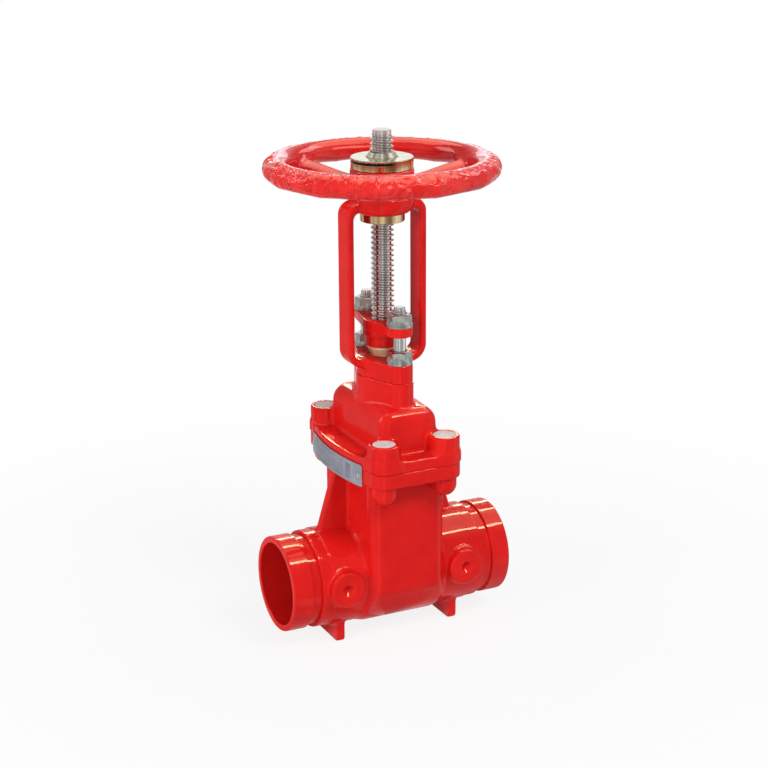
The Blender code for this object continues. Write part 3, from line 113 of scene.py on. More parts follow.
def castSkin(name, field, low, high, step):
    # the skin of a field, as quads laid over a grid and then drawn on to the surface
    axes = [np.arange(a - 2 * step, b + 3 * step, step) for a, b in zip(low, high)]
    start = np.array([a[0] for a in axes])
    gx, gy, gz = np.meshgrid(*axes, indexing="ij", sparse=True)
    depth = np.broadcast_to(field(gx, gy, gz), [len(a) for a in axes]).astype(np.float32)
    solid = depth < 0
    size = np.array(depth.shape) - 1
    count = np.zeros(size, np.int8)
    for corner in np.ndindex(2, 2, 2):
        count += solid[tuple(slice(c, c + n) for c, n in zip(corner, size))]
    cells = np.argwhere((count > 0) & (count < 8))
    number = np.full(size, -1, np.int64)
    number[tuple(cells.T)] = np.arange(len(cells))
    points = np.zeros((len(cells), 3))
    hits = np.zeros((len(cells), 1))
    for axis in range(3):
        for other in np.ndindex(2, 2):
            near = np.insert(other, axis, 0)
            far = np.insert(other, axis, 1)
            a = depth[tuple((cells + near).T)]
            b = depth[tuple((cells + far).T)]
            crosses = (a < 0) != (b < 0)
            share = np.where(crosses, a / np.where(crosses, a - b, 1), 0)
            points += (near + share[:, None] * (far - near)) * crosses[:, None]
            hits += crosses[:, None]
    points = start + (points / hits + cells) * step
    quads = []
    for axis in range(3):
        near = [slice(1, -1)] * 3
        far = [slice(1, -1)] * 3
        near[axis], far[axis] = slice(0, -1), slice(1, None)
        inside, beyond = solid[tuple(near)], solid[tuple(far)]
        place = np.argwhere(inside != beyond)
        outward = inside[tuple(place.T)]
        u, v = [(1, 2), (2, 0), (0, 1)][axis]
        place[:, u] += 1
        place[:, v] += 1
        ring = []
        for du, dv in ((0, 0), (-1, 0), (-1, -1), (0, -1)):
            cell = place.copy()
            cell[:, u] += du
            cell[:, v] += dv
            ring.append(number[tuple(cell.T)])
        quad = np.stack(ring, 1)
        quad[~outward] = quad[~outward][:, ::-1]
        quads.append(quad)
    tiny = step * 0.2
    for _ in range(3):
        slope = slopeOf(field, points, tiny)
        steep = np.maximum((slope ** 2).sum(1), 0.2)
        shift = (field(*points.T) / steep)[:, None] * slope
        far = np.maximum(np.linalg.norm(shift, axis=1) / (0.5 * step), 1)
        points -= shift / far[:, None]
    normals = slopeOf(field, points, tiny)
    normals /= np.maximum(np.linalg.norm(normals, axis=1), 1e-9)[:, None]
    piece = addMesh(name, (points + (0, 0, axisLift)) * mm, np.concatenate(quads))
    piece.data.normals_split_custom_set_from_vertices(normals.tolist())
    return piece


def slopeOf(field, points, tiny):
    slope = np.empty_like(points)
    for axis in range(3):
        ahead, behind = points.copy(), points.copy()
        ahead[:, axis] += tiny
        behind[:, axis] -= tiny
        slope[:, axis] = (field(*ahead.T) - field(*behind.T)) / (2 * tiny)
    return slope


def easedProfile(corners, steps=4):
    # (radius, height, rounding) corners of a closed loop, each rounded by its own amount
    points = []
    for i, (r, h, ease) in enumerate(corners):
        here = Vector((r, h))
        if ease <= 0:
            points.append((r, h))
            continue
        before = (Vector(corners[i - 1][:2]) - here).normalized()
        after = (Vector(corners[(i + 1) % len(corners)][:2]) - here).normalized()
        half = before.angle(after) / 2
        middle = here + (before + after).normalized() * ease / math.sin(half)
        first = here + before * ease / math.tan(half) - middle
        last = here + after * ease / math.tan(half) - middle
        angle = math.atan2(first.y, first.x)
        sweep = math.atan2(first.cross(last), first.dot(last))
        for k in range(steps + 1):
            a = angle + sweep * k / steps
            points.append((middle.x + ease * math.cos(a), middle.y + ease * math.sin(a)))
    return points


def ringQuads(sides, count):  # quads between loops of points that stand round a full turn
    i, j = np.meshgrid(np.arange(sides), np.arange(count), indexing="ij")
    i2, j2 = (i + 1) % sides, (j + 1) % count
    return np.stack([i * count + j, i2 * count + j, i2 * count + j2, i * count + j2], -1).reshape(-1, 4)


def spunRing(name, corners, sides=96, axis="Z", centre=(0, 0, axisLift), steps=4, wobble=None):
    profile = np.array(easedProfile(corners, steps))
    angles = np.arange(sides) * turn / sides
    r = np.repeat(profile[None, :, 0], sides, 0)
    h = np.repeat(profile[None, :, 1], sides, 0)
    if wobble:
        r, h = wobble(r, h, angles[:, None])
    a, b = r * np.cos(angles)[:, None], r * np.sin(angles)[:, None]
    points = np.stack({"X": (h, a, b), "Y": (b, h, a), "Z": (a, b, h)}[axis], -1) + np.array(centre)
    return settle(addMesh(name, points.reshape(-1, 3) * mm, ringQuads(sides, len(profile))))


def settle(piece, angle=28):
    # merges points that lie together, turns faces outward and evens the shading
    shape = bmesh.new()
    shape.from_mesh(piece.data)
    bmesh.ops.remove_doubles(shape, verts=shape.verts, dist=1e-6)
    bmesh.ops.dissolve_degenerate(shape, edges=shape.edges, dist=1e-6)
    bmesh.ops.recalc_face_normals(shape, faces=shape.faces)
    shape.to_mesh(piece.data)
    shape.free()
    piece.data.shade_smooth()
    piece.data.set_sharp_from_angle(angle=math.radians(angle))
    even = piece.modifiers.new("evenShading", "WEIGHTED_NORMAL")
    even.keep_sharp = True
    return piece


def threadedRod(name, rod, centre=(0, 0, 0)):
    # columns of points that climb a part of a turn from each to the next, closed by a cap at each end
    sides, pitch = rod["sides"], rod["pitch"]
    wave = np.array(rod["wave"])  # (share of a pitch, share of the depth) round one turn
    turns = int(math.ceil((rod["top"] - rod["low"]) / pitch)) + 3
    shares = np.concatenate([wave[:, 0] + k for k in range(turns)])
    depths = np.tile(wave[:, 1], turns)
    columns = []
    for i in range(sides):
        climb = rod["hand"] * i / sides
        z = rod["low"] + (shares - 1.5 + climb) * pitch
        r = rod["radius"] - rod["depth"] * depths
        r = rod["radius"] + (r - rod["radius"]) * np.clip((z - rod["threadLow"]) / pitch, 0, 1)
        r = rod["nose"] + (r - rod["nose"]) * np.clip((rod["top"] - z) / pitch, 0, 1)
        held = np.clip(z, rod["low"], rod["top"])
        r = np.interp(held, z, r)
        angle = i * turn / sides
        columns.append(np.stack([r * math.cos(angle), r * math.sin(angle), held], -1))
    grid = np.array(columns)
    count = grid.shape[1]
    k = len(wave)
    points = grid.reshape(-1, 3).tolist()
    faces = []
    for i in range(sides):
        after = (i + 1) % sides
        shift = 0 if after else k * rod["hand"]
        for j in range(count - 1):
            a, b = j + shift, j + 1 + shift
            if 0 <= a and b < count:
                faces.append((i * count + j, after * count + a, after * count + b, i * count + j + 1))
    bottom, top = len(points), len(points) + 1
    points += [[0, 0, rod["low"]], [0, 0, rod["top"]]]
    for i in range(sides):
        after = (i + 1) % sides
        faces.append((bottom, after * count, i * count))
        faces.append((top, i * count + count - 1, after * count + count - 1))
    spots = (np.array(points) + np.array(centre) + (0, 0, axisLift)) * mm
    return settle(addMesh(name, spots, faces), 40)


def rodNose(name, rod, top, centre=(0, 0, 0)):  # the plain end over a thread
    radius, low = rod["nose"], rod["top"] - 0.5
    corners = [(0.02, low, 0), (radius, low, 0), (radius, top, 0.7), (0.02, top, 0)]
    return spunRing(name, corners, 72, centre=np.array(centre) + (0, 0, axisLift))


# ---- finishes


def newMaterial(name):
    material = bpy.data.materials.new(name)
    material.use_nodes = True
    tree = material.node_tree
    return material, tree, tree.nodes["Principled BSDF"]


def setSockets(tree, node, values):  # each value is a plain one or another node's output
    for socket, value in values.items():
        if isinstance(value, bpy.types.NodeSocket):
            tree.links.new(value, node.inputs[socket])
        else:
            node.inputs[socket].default_value = value


def addNode(tree, kind, values):
    node = tree.nodes.new(f"ShaderNode{kind}")
    setSockets(tree, node, values)
    return node


def placeNode(tree):
    return addNode(tree, "TexCoord", {}).outputs["Object"]


def noiseNode(tree, scale, detail=3.0, stretch=(1, 1, 1)):
    place = addNode(tree, "Mapping", {"Vector": placeNode(tree), "Scale": stretch})
    values = {"Vector": place.outputs["Vector"], "Scale": scale, "Detail": detail, "Roughness": 0.55}
    return addNode(tree, "TexNoise", values).outputs["Fac"]


def mathNode(tree, operation, a, b):
    node = addNode(tree, "Math", {0: a, 1: b})
    node.operation = operation
    return node.outputs[0]


def aroundNode(tree, where):  # the angle about Z, zero behind the valve
    split = addNode(tree, "SeparateXYZ", {0: where})
    back = mathNode(tree, "MULTIPLY", split.outputs["Y"], -1.0)
    return mathNode(tree, "ARCTAN2", split.outputs["X"], back)


def rampNode(tree, source, stops):
    ramp = addNode(tree, "ValToRGB", {"Fac": source})
    while len(ramp.color_ramp.elements) < len(stops):
        ramp.color_ramp.elements.new(0.5)
    for element, (position, colour) in zip(ramp.color_ramp.elements, stops):
        element.position = position
        element.color = (*colour, 1)
    return ramp.outputs["Color"]


def rangeNode(tree, source, low, high, fromLow=0.3, fromHigh=0.7):
    values = {"Value": source, "From Min": fromLow, "From Max": fromHigh, "To Min": low, "To Max": high}
    return addNode(tree, "MapRange", values).outputs["Result"]


def bumpNode(tree, source, height, before=None):
    bump = addNode(tree, "Bump", {"Height": source, "Distance": height * mm, "Strength": 1.0})
    if before:
        setSockets(tree, bump, {"Normal": before})
    return bump.outputs["Normal"]


redPaint = {
    "colour": (0.66, 0.0105, 0.0090),
    "worn": (0.60, 0.0080, 0.0070),
    "fresh": (0.71, 0.0135, 0.0110),
    "cloudScale": 38.0,
    "specular": 0.02,
    "roughness": (0.24, 0.34),
    "roughnessScale": 120.0,
    "coat": 0.30,
    "coatRoughness": 0.03,
    "peelScale": 420.0,
    "peelHeight": 0.016,
    "waveScale": 80.0,
    "waveHeight": 0.07,
}
wheelPaint = {  # the wheel's coat is thicker and paler
    **redPaint,
    "colour": (0.68, 0.016, 0.014),
    "fresh": (0.72, 0.022, 0.019),
    "coat": 0.65,
    "waveHeight": 0.04,
}


def makeRedEpoxy(name, v):
    material, tree, shader = newMaterial(name)
    cloud = noiseNode(tree, v["cloudScale"], 4.0)
    fine = noiseNode(tree, v["roughnessScale"])
    wave = bumpNode(tree, noiseNode(tree, v["waveScale"], 2.0), v["waveHeight"])
    peel = bumpNode(tree, noiseNode(tree, v["peelScale"], 2.0), v["peelHeight"], wave)
    stops = [(0.30, v["worn"]), (0.52, v["colour"]), (0.72, v["fresh"])]
    setSockets(tree, shader, {
        "Base Color": rampNode(tree, cloud, stops),
        "Roughness": rangeNode(tree, fine, *v["roughness"]),
        "Specular IOR Level": v["specular"],
        "Coat Weight": v["coat"],
        "Coat Roughness": v["coatRoughness"],
        "Normal": peel,
        "Coat Normal": peel,
    })
    return material


# painted reflection: how many light and dark bands the turned metal shows per radian
reflectionBandsPerRadian = 3.2


def reflectionBandNode(tree):  # painted reflection: uneven light and dark bands round a turned piece, with their seam at the back
    noise = addNode(tree, "TexNoise", {"Scale": 1.0, "Detail": 2.0})
    noise.noise_dimensions = "1D"
    angle = aroundNode(tree, placeNode(tree))
    setSockets(tree, noise, {"W": mathNode(tree, "MULTIPLY", angle, reflectionBandsPerRadian)})
    return noise.outputs["Fac"]


def makeTurned(name, stops, roughness, metallic=1.0):  # turned metal, with painted reflection bands round it
    material, tree, shader = newMaterial(name)
    rings = noiseNode(tree, 60.0, 2.0, (1, 1, 40))
    setSockets(tree, shader, {
        "Metallic": metallic,
        "Base Color": rampNode(tree, reflectionBandNode(tree), stops),
        "Roughness": rangeNode(tree, rings, *roughness),
        "Normal": bumpNode(tree, rings, 0.006),
    })
    return material


def makeMetal(name, dark, light, roughness, scale=60.0, lines=(1, 1, 40), lineHeight=0.01):
    material, tree, shader = newMaterial(name)
    fine = noiseNode(tree, 60.0, 2.0, lines)
    setSockets(tree, shader, {
        "Metallic": 1.0,
        "Base Color": rampNode(tree, noiseNode(tree, scale, 4.0), [(0.34, dark), (0.66, light)]),
        "Roughness": rangeNode(tree, fine, *roughness),
        "Normal": bumpNode(tree, fine, lineHeight),
    })
    return material


def makePlain(name, dark, light, roughness, scale=90.0, bump=0.05, bumpScale=300.0):
    material, tree, shader = newMaterial(name)
    cloud = noiseNode(tree, scale, 4.0)
    setSockets(tree, shader, {
        "Specular IOR Level": 0.4,
        "Base Color": rampNode(tree, cloud, [(0.35, dark), (0.65, light)]),
        "Roughness": rangeNode(tree, cloud, *roughness),
        "Normal": bumpNode(tree, noiseNode(tree, bumpScale, 3.0), bump),
    })
    return material


redEpoxy = makeRedEpoxy("redEpoxy", redPaint)
wheelEpoxy = makeRedEpoxy("wheelEpoxy", wheelPaint)
stainless = makeMetal("stainlessSteel", (0.52, 0.49, 0.48), (0.70, 0.67, 0.65), (0.14, 0.24))
# a paler copy of the stainless steel: a painted highlight for the stem's plain end
paintedHighlightSteel = makeMetal("paintedHighlightSteel", (0.76, 0.72, 0.67), (0.88, 0.84, 0.80), (0.22, 0.34))
zincPlate = makeMetal(
    "zincPlatedSteel", (0.42, 0.46, 0.43), (0.60, 0.64, 0.60), (0.26, 0.40), 140.0, (1, 1, 1), 0.02
)
# bright zinc of the studs and rivets; it is also the painted highlight on the nuts' top faces
brightZincAndPaintedNutHighlight = makeMetal(
    "brightZincAndPaintedNutHighlight", (0.64, 0.65, 0.63), (0.80, 0.81, 0.79), (0.16, 0.26), 90.0, (1, 1, 1), 0.01
)
brassTurned = makeTurned(
    "turnedBrass",
    [(0.30, (0.42, 0.24, 0.10)), (0.50, (0.70, 0.50, 0.24)), (0.68, (0.86, 0.74, 0.48))],
    (0.12, 0.24),
)
# a pale copy of the brass: a painted highlight for the top faces of the turned brass pieces
paintedHighlightBrass = makeTurned(
    "brassPaintedHighlight",
    [(0.30, (0.66, 0.56, 0.36)), (0.50, (0.84, 0.80, 0.66)), (0.68, (0.92, 0.91, 0.84))],
    (0.10, 0.20),
)
brassDull = makeTurned(
    "dullBrass",
    [(0.30, (0.62, 0.47, 0.22)), (0.50, (0.78, 0.64, 0.36)), (0.68, (0.90, 0.80, 0.56))],
    (0.34, 0.46),
    metallic=0.4,
)
plateMetal = makeMetal(
    "plateAluminium", (0.40, 0.42, 0.50), (0.56, 0.58, 0.66), (0.30, 0.46), 70.0, (1, 1, 60), 0.008
)
plateInk = makePlain("plateInk", (0.14, 0.14, 0.18), (0.24, 0.24, 0.29), (0.4, 0.6))
sealingWax = makePlain(
    "sealingWax", (0.60, 0.585, 0.56), (0.76, 0.745, 0.71), (0.4, 0.62), 150.0, 0.2, 260.0
)
blackRubber = makePlain("blackRubber", (0.012, 0.012, 0.012), (0.03, 0.03, 0.03), (0.5, 0.7))
graphitePacking = makePlain("graphitePacking", (0.05, 0.05, 0.052), (0.10, 0.10, 0.105), (0.4, 0.6))
gateIron = makePlain("gateIron", (0.06, 0.06, 0.06), (0.12, 0.12, 0.12), (0.35, 0.6), 60.0, 0.2)
guidePlastic = makePlain("guidePlastic", (0.66, 0.64, 0.56), (0.76, 0.74, 0.68), (0.4, 0.55))
print("finishes made")


def dress(piece, finish, body, slot, *nodes):
    piece.data.materials.clear()
    for one in finish if isinstance(finish, (list, tuple)) else [finish]:
        piece.data.materials.append(one)
    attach(piece, body)
    if nodes:
        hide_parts(*nodes)
    return piece


def recolour(piece, slot, chosen):  # gives the faces that the test picks another of the piece's finishes
    for face in piece.data.polygons:
        centre = face.center / mm
        centre.z -= axisLift
        if chosen(centre, face.normal):
            face.material_index = slot


# ---- cast body

body = {
    "bore": 33.0,
    "barrelRadius": 39.5,
    "collarRadius": 38.9,
    "collarLow": 61.1,
    "grooveLow": 71.1,
    "grooveRadius": 36.15,
    "lipLow": 79.1,
    "lipRadius": 38.05,
    "end": 95.0,
    "chamberX": 32.5,
    "chamberY": 46.5,
    "chamberCorner": 10.0,
    "bowlStart": -5.0,
    "slantSlope": 0.66,
    "bowlRadius": 40.5,
    "keelSlope": (0.42, 0.907),
    "flangeLow": 89.6,
    "parting": 101.6,
    "flangeX": 45.5,
    "flangeY": 66.4,
    "bow": 193.0,
    "boltX": 25.9,
    "boltY": 54.2,
    "flangeCorner": 9.0,
    "boltCorner": 12.3,
    "bumpRadius": 9.7,
    "bumpLow": 73.5,
    "bumpRounding": 9.4,
    "joinTop": 95.0,
    "webX": 58.5,
    "webZ": 39.5,
    "webLow": 20.0,
    "webHalf": 3.5,
    "webSlope": (0.958, 0.286),
    "bossX": 52.0,
    "bossZ": 3.0,
    "bossRadius": 14.6,
    "bossReach": 45.0,
    "dimpleRadius": 5.4,
    "dimpleSlope": 0.95,
    "footX": 50.0,
    "footHalfThickness": 3.5,
    "footHalfWidth": 24.0,
    "footHalfHeight": 14.0,
    "step": 1.15,
}


def flangeOutline(x, y):
    bowed = reach(np.abs(x) + body["bow"] - body["flangeX"], y) - body["bow"]
    straight = meetRound(bowed, np.abs(y) - body["flangeY"], body["flangeCorner"])
    corner = reach(np.abs(x) - body["boltX"], np.abs(y) - body["boltY"]) - body["boltCorner"]
    return np.minimum(straight, corner)


space = {
    "radius": 37.5,
    "lowHalf": 12.6,
    "flare": 2.9,
    "flareHeight": 77.5,
    "shoulder": 48.0,
    "throat": (20.0, 38.0, 4.0),
    "guide": (5.5, 41.5, -10.8),
}


def gateSpace(x, y, z):  # the pocket across the pipe, its throat and the guides of the shoes
    v = space
    ax, ay = np.abs(x), np.abs(y)
    across = np.where(z > 0, ay, reach(ay, z)) - v["radius"]
    half = v["lowHalf"] + v["flare"] * (z + v["radius"]) / v["flareHeight"]
    pocket = np.maximum(np.maximum(across, ax - half), z - v["shoulder"])
    throat = np.maximum(roundedRectangle(x, y, *v["throat"]), v["shoulder"] - z)
    half, far, low = v["guide"]
    guide = np.maximum(np.maximum(ax - half, ay - far), low - z)
    return np.minimum(np.minimum(pocket, throat), guide)


def bodyField(x, y, z):
    v = body
    ax, ay = np.abs(x), np.abs(y)
    ring = reach(y, z)
    barrel = meetRound(ring - v["barrelRadius"], ax - v["collarLow"] - 0.2, 0.5)
    collar = meetRound(ring - v["collarRadius"], v["collarLow"] - ax, 0.8)
    collar = meetRound(collar, ax - v["grooveLow"], 0.9)
    whole = joinRound(barrel, collar, 0.3)
    plan = roundedRectangle(x, y, v["chamberX"], v["chamberY"], v["chamberCorner"])
    slant = (ay - v["chamberY"] - v["slantSlope"] * (z - v["bowlStart"])) / math.hypot(1, v["slantSlope"])
    out, down = v["keelSlope"]
    keel = meetRound(out * ay - down * z - v["bowlRadius"], -z - v["bowlRadius"], 6)
    chamber = meetRound(meetRound(plan, slant, 2), keel, 5)
    chamber = np.maximum(chamber, z - v["joinTop"])
    whole = joinRound(whole, chamber, 4.5)
    out, up = v["webSlope"]
    web = meetRound(out * (ax - v["webX"]) + up * (z - v["webZ"]), ay - v["webHalf"], 1.6)
    web = np.maximum(np.maximum(web, v["webLow"] - z), z - v["joinTop"])
    whole = joinRound(whole, web, 2.8)
    footRise = z + axisLift - v["footHalfHeight"]
    foot = roundedRectangle(y, footRise, v["footHalfWidth"], v["footHalfHeight"], 4)
    footSides = between(ax, v["footX"] - v["footHalfThickness"], v["footX"] + v["footHalfThickness"])
    foot = meetRound(footSides, foot, 1.2)
    whole = joinRound(whole, foot, 2.5)
    boss = reach(ax - v["bossX"], z - v["bossZ"])
    whole = joinRound(whole, meetRound(boss - v["bossRadius"], between(ay, 25, v["bossReach"]), 2.2), 2.4)
    dimple = boss - v["dimpleRadius"] + (v["bossReach"] - ay) * v["dimpleSlope"]
    whole = cutRound(whole, dimple / math.hypot(1, v["dimpleSlope"]), 0.7)
    bump = reach(ax - v["boltX"], ay - v["boltY"]) - v["bumpRadius"]
    bump = np.maximum(meetRound(bump, v["bumpLow"] - z, v["bumpRounding"]), z - v["joinTop"])
    whole = joinRound(whole, bump, 1.8)
    flange = meetRound(flangeOutline(x, y), between(z, v["flangeLow"], v["parting"]), 1.4)
    whole = joinRound(whole, flange, 0.7)
    whole = cutRound(whole, ring - v["bore"], 0.5)
    return cutRound(whole, gateSpace(x, y, z), 0.5)


castLow = (-body["grooveLow"], -67, -axisLift)
castHigh = (body["grooveLow"], 67, body["parting"])
casting = castSkin("valveBodyCasting", bodyField, castLow, castHigh, body["step"])
endCorners = [
    (body["bore"], body["grooveLow"] - 0.6, 0),
    (body["grooveRadius"], body["grooveLow"] - 0.6, 0),
    (body["grooveRadius"], body["lipLow"], 0.5),
    (body["lipRadius"], body["lipLow"], 0.7),
    (body["lipRadius"], body["end"], 1.3),
    (body["bore"], body["end"], 1.0),
]
ends = []
for side, name in ((-1, "pipeEndLeft"), (1, "pipeEndRight")):
    end = spunRing(name, [(r, side * x, e) for r, x, e in endCorners], 144, "X")
    ends.append(dress(end, redEpoxy, "valve", "red_epoxy"))
dress(casting, redEpoxy, "valve", "red_epoxy", "valve_body")
print("body cast", len(casting.data.polygons))

# ---- bonnet

bonnet = {
    "top": 145.0,
    "halfX": 24.5,
    "halfY": 48.5,
    "crown": 1.3,
    "archEdge": 13.0,
    "endEdge": 10.0,
    "uprightEdge": 8.0,
    "lean": 0.04,
    "inset": 0.3,
    "plateTop": 110.2,
    "bossRadius": 12.3,
    "bossDraft": 0.11,
    "bossTop": 123.3,
    "pocketRadius": 8.9,
    "neckTop": 162.8,
    "studY": 29.2,
    "neckEnd": 10.2,
    "neckWaist": 21.0,
    "neckSwell": 0.5,
    "hoodLow": 104.0,
    "pocketLow": 111.0,
    "stuffingRadius": 16.6,
    "stuffing": (150.0, 168.0),
    "cavity": (18.5, 42.0, 10.0),
    "cavityTop": 138.5,
    "packingRadius": 13.5,
    "packingLow": 148.0,
    "bushRadius": 12.3,
    "bush": (130.0, 149.0),
    "studHole": 5.3,
    "studLow": 150.7,
    "step": 0.9,
}


def bonnetField(x, y, z):
    v = bonnet
    ax, ay = np.abs(x), np.abs(y)
    ring = reach(x, y)
    outline = flangeOutline(x, y) + v["inset"]
    plate = meetRound(meetRound(outline, z - v["plateTop"], 1.6), body["parting"] + 0.08 - z, 0.35)
    lean = (v["top"] - z) * v["lean"]
    crown = z - v["top"] + v["crown"] * (y / v["halfY"]) ** 2
    hood = meetRound(ax - v["halfX"] - lean, crown, v["archEdge"])
    hood = meetRound(hood, ay - v["halfY"] - lean, v["endEdge"])
    upright = roundedRectangle(x, y, v["halfX"] + lean, v["halfY"] + lean, v["uprightEdge"])
    hood = np.maximum(meetRound(hood, upright, 1.5), v["hoodLow"] - z)
    whole = joinRound(plate, hood, 3.2)
    draft = (v["bossTop"] - z) * v["bossDraft"]
    boss = reach(ax - body["boltX"], ay - body["boltY"]) - v["bossRadius"] - draft
    boss = meetRound(np.maximum(boss, outline), z - v["bossTop"], 1.7)
    whole = joinRound(whole, np.maximum(boss, v["hoodLow"] - z), 4)
    neck = ovalBar(x, y, v["studY"], v["neckEnd"], v["neckWaist"]) - v["neckSwell"]
    neck = np.maximum(meetRound(neck, z - v["neckTop"], 1.1), 136 - z)
    whole = joinRound(whole, neck, 2.6)
    stuffing = np.maximum(ring - v["stuffingRadius"], between(z, *v["stuffing"]))
    whole = np.minimum(whole, stuffing)
    hollow = np.maximum(roundedRectangle(x, y, *v["cavity"]), z - v["cavityTop"])
    packing = np.maximum(ring - v["packingRadius"], v["packingLow"] - z)
    bush = np.maximum(ring - v["bushRadius"], between(z, *v["bush"]))
    fromBolt = reach(ax - body["boltX"], ay - body["boltY"])
    pocket = np.maximum(fromBolt - v["pocketRadius"], v["pocketLow"] - z)
    stud = np.maximum(reach(x, ay - v["studY"]) - v["studHole"], v["studLow"] - z)
    inner = np.minimum(np.minimum(hollow, packing), np.minimum(bush, stud))
    return cutRound(cutRound(whole, inner, 0.4), pocket, 0.4)


hood = castSkin("bonnetCasting", bonnetField, (-46, -67, 101.6), (46, 67, 168), bonnet["step"])
dress(hood, redEpoxy, "valve", "red_epoxy", "bonnet")
print("bonnet cast", len(hood.data.polygons))

# ---- yoke

yoke = {
    "baseLow": 162.88,
    "baseTop": 177.2,
    "footLow": 170.0,
    "legOuter": 33.5,
    "legInner": 28.0,
    "halfWidth": 10.0,
    "lowerBend": 14.0,
    "upperBend": 10.8,
    "windowLow": 176.9,
    "windowTop": 293.0,
    "windowCorner": 6.0,
    "bridgeTop": 300.2,
    "bowlLow": 290.2,
    "bowlTop": 302.8,
    "bowlInner": 18.4,
    "bowlSwell": 6.1,
    "bowlHeight": 9.0,
    "recessRadius": 21.5,
    "recessLow": 300.6,
    "sleeveRadius": 14.3,
    "sleeveLow": 270.0,
    "spigotRadius": 16.9,
    "spigotTop": 168.3,
    "bushRadii": (13.9, 10.8),
    "bushShoulder": 171.0,
    "holeTop": 182.0,
    "step": 0.75,
}


def yokeField(x, y, z):
    v = yoke
    ring = reach(x, y)
    base = ovalBar(x, y, bonnet["studY"], bonnet["neckEnd"], bonnet["neckWaist"])
    base = meetRound(meetRound(base, z - v["baseTop"], 1.3), v["baseLow"] - z, 0.35)
    middle = (v["footLow"] + v["bridgeTop"]) / 2
    bend = np.where(z > middle, v["upperBend"], v["lowerBend"])
    outer = roundedRectangle(x, z - middle, v["legOuter"], v["bridgeTop"] - middle, bend)
    centre = (v["windowLow"] + v["windowTop"]) / 2
    window = roundedRectangle(x, z - centre, v["legInner"], v["windowTop"] - centre, v["windowCorner"])
    loop = meetRound(np.maximum(outer, -window), np.abs(y) - v["halfWidth"], 2.3)
    whole = joinRound(base, loop, 3.5)
    out = np.maximum(ring - v["bowlInner"], 0) / v["bowlSwell"]
    down = np.maximum(v["bowlLow"] + v["bowlHeight"] - z, 0) / v["bowlHeight"]
    bowl = (reach(out, down) - 1) * v["bowlSwell"]
    whole = joinRound(whole, meetRound(bowl, z - v["bowlTop"], 1.2), 2.5)
    recess = np.maximum(ring - v["recessRadius"], v["recessLow"] - z)
    sleeve = np.maximum(ring - v["sleeveRadius"], v["sleeveLow"] - z)
    spigot = np.maximum(ring - v["spigotRadius"], z - v["spigotTop"])
    bush = np.maximum(ring - np.where(z < v["bushShoulder"], *v["bushRadii"]), z - v["holeTop"])
    stud = np.maximum(reach(x, np.abs(y) - bonnet["studY"]) - bonnet["studHole"], z - v["holeTop"])
    holes = np.minimum(np.minimum(sleeve, spigot), np.minimum(bush, np.minimum(stud, recess)))
    return cutRound(whole, holes, 0.4)


stand = castSkin("yokeCasting", yokeField, (-34, -40, 163), (34, 40, 303), yoke["step"])
dress(stand, redEpoxy, "valve", "red_epoxy", "yoke")
print("yoke cast", len(stand.data.polygons))

# ---- handwheel

wheel = {
    "radius": 80.9,
    "halfWidth": 10.0,
    "halfHeight": 9.3,
    "height": 324.6,
    "grips": 12,
    "angle": math.radians(-117.8),
    "leafHeight": 1.3,
    "leafRows": 12,
    "scallop": 0.9,
    "ridgeWidth": 1.2,
    "ridgeSpacing": 21.2,
    "hubTop": 324.2,
    "hubLow": 303.2,
    "hubRadius": 24.6,
    "hubTaper": (4.0, 7.0),
    "hole": 13.3,
    "spokes": 3,
    "spokeFrom": 17.0,
    "spokeRun": 62.1,
    "spokeHigh": 5.6,
    "spokeThins": 1.2,
    "spokeWide": 9.5,
    "crestHigh": 0.7,
    "crestWide": 2.2,
    "rimDrop": 5.2,
    "hubDrop": 10.2,
    "step": 0.85,
}
leafTable = np.random.default_rng(11).random((100, 32))


def leafNoise(u, v):  # smooth lumps; c wraps early, so the last fifth of the table is rougher
    iu, iv = np.floor(u), np.floor(v)
    fu, fv = u - iu, v - iv
    fu, fv = fu * fu * (3 - 2 * fu), fv * fv * (3 - 2 * fv)
    iu, iv = iu.astype(int), iv.astype(int)
    wide, high = leafTable.shape
    a = leafTable[iu % wide, iv % high]
    b = leafTable[(iu + 1) % wide, iv % high]
    c = leafTable[iu % 80, (iv + 1) % high]
    d = leafTable[(iu + 1) % wide, (iv + 1) % high]
    return (a + (b - a) * fu) * (1 - fv) + (c + (d - c) * fu) * fv


def rimField(x, y, z):
    v = wheel
    rho = reach(x, y) - v["radius"]
    up = z - v["height"]
    theta = np.arctan2(y, x) - v["angle"]
    psi = np.arctan2(up / v["halfHeight"], rho / v["halfWidth"])  # 0 outside, a quarter turn on top
    rim = reach(rho, up * v["halfWidth"] / v["halfHeight"]) - v["halfWidth"]
    cell = (theta * v["grips"] / turn) % 1.0
    fromRidge = np.abs(cell - 0.5) * 2  # 1 at a ridge, 0 between two
    around = (theta / turn % 1.0) * len(leafTable)
    across = psi / turn * v["leafRows"] + v["leafRows"] / 2
    outerFace = np.clip(np.cos(psi - 0.45) * 2.4 - 0.6, 0, 1)
    swirl = leafNoise(around, across * 0.7) - 0.5
    big = leafNoise(around, across + 6 + swirl * 1.5)
    small = leafNoise(around * 2, across * 2 + swirl)
    leaf = np.clip(1.6 * (big - 0.5) + 0.5 + 0.35 * (small - 0.5), 0, 1)
    ridge = np.exp(-((1 - fromRidge) * v["ridgeSpacing"] / v["ridgeWidth"]) ** 2)
    carved = v["leafHeight"] * (1 - leaf) * outerFace * (1 - ridge)
    lower = np.clip(-np.sin(psi + 0.25) * 1.4 - 0.1, 0, 1)
    return rim + carved + lower * v["scallop"] * (1 - fromRidge ** 2)


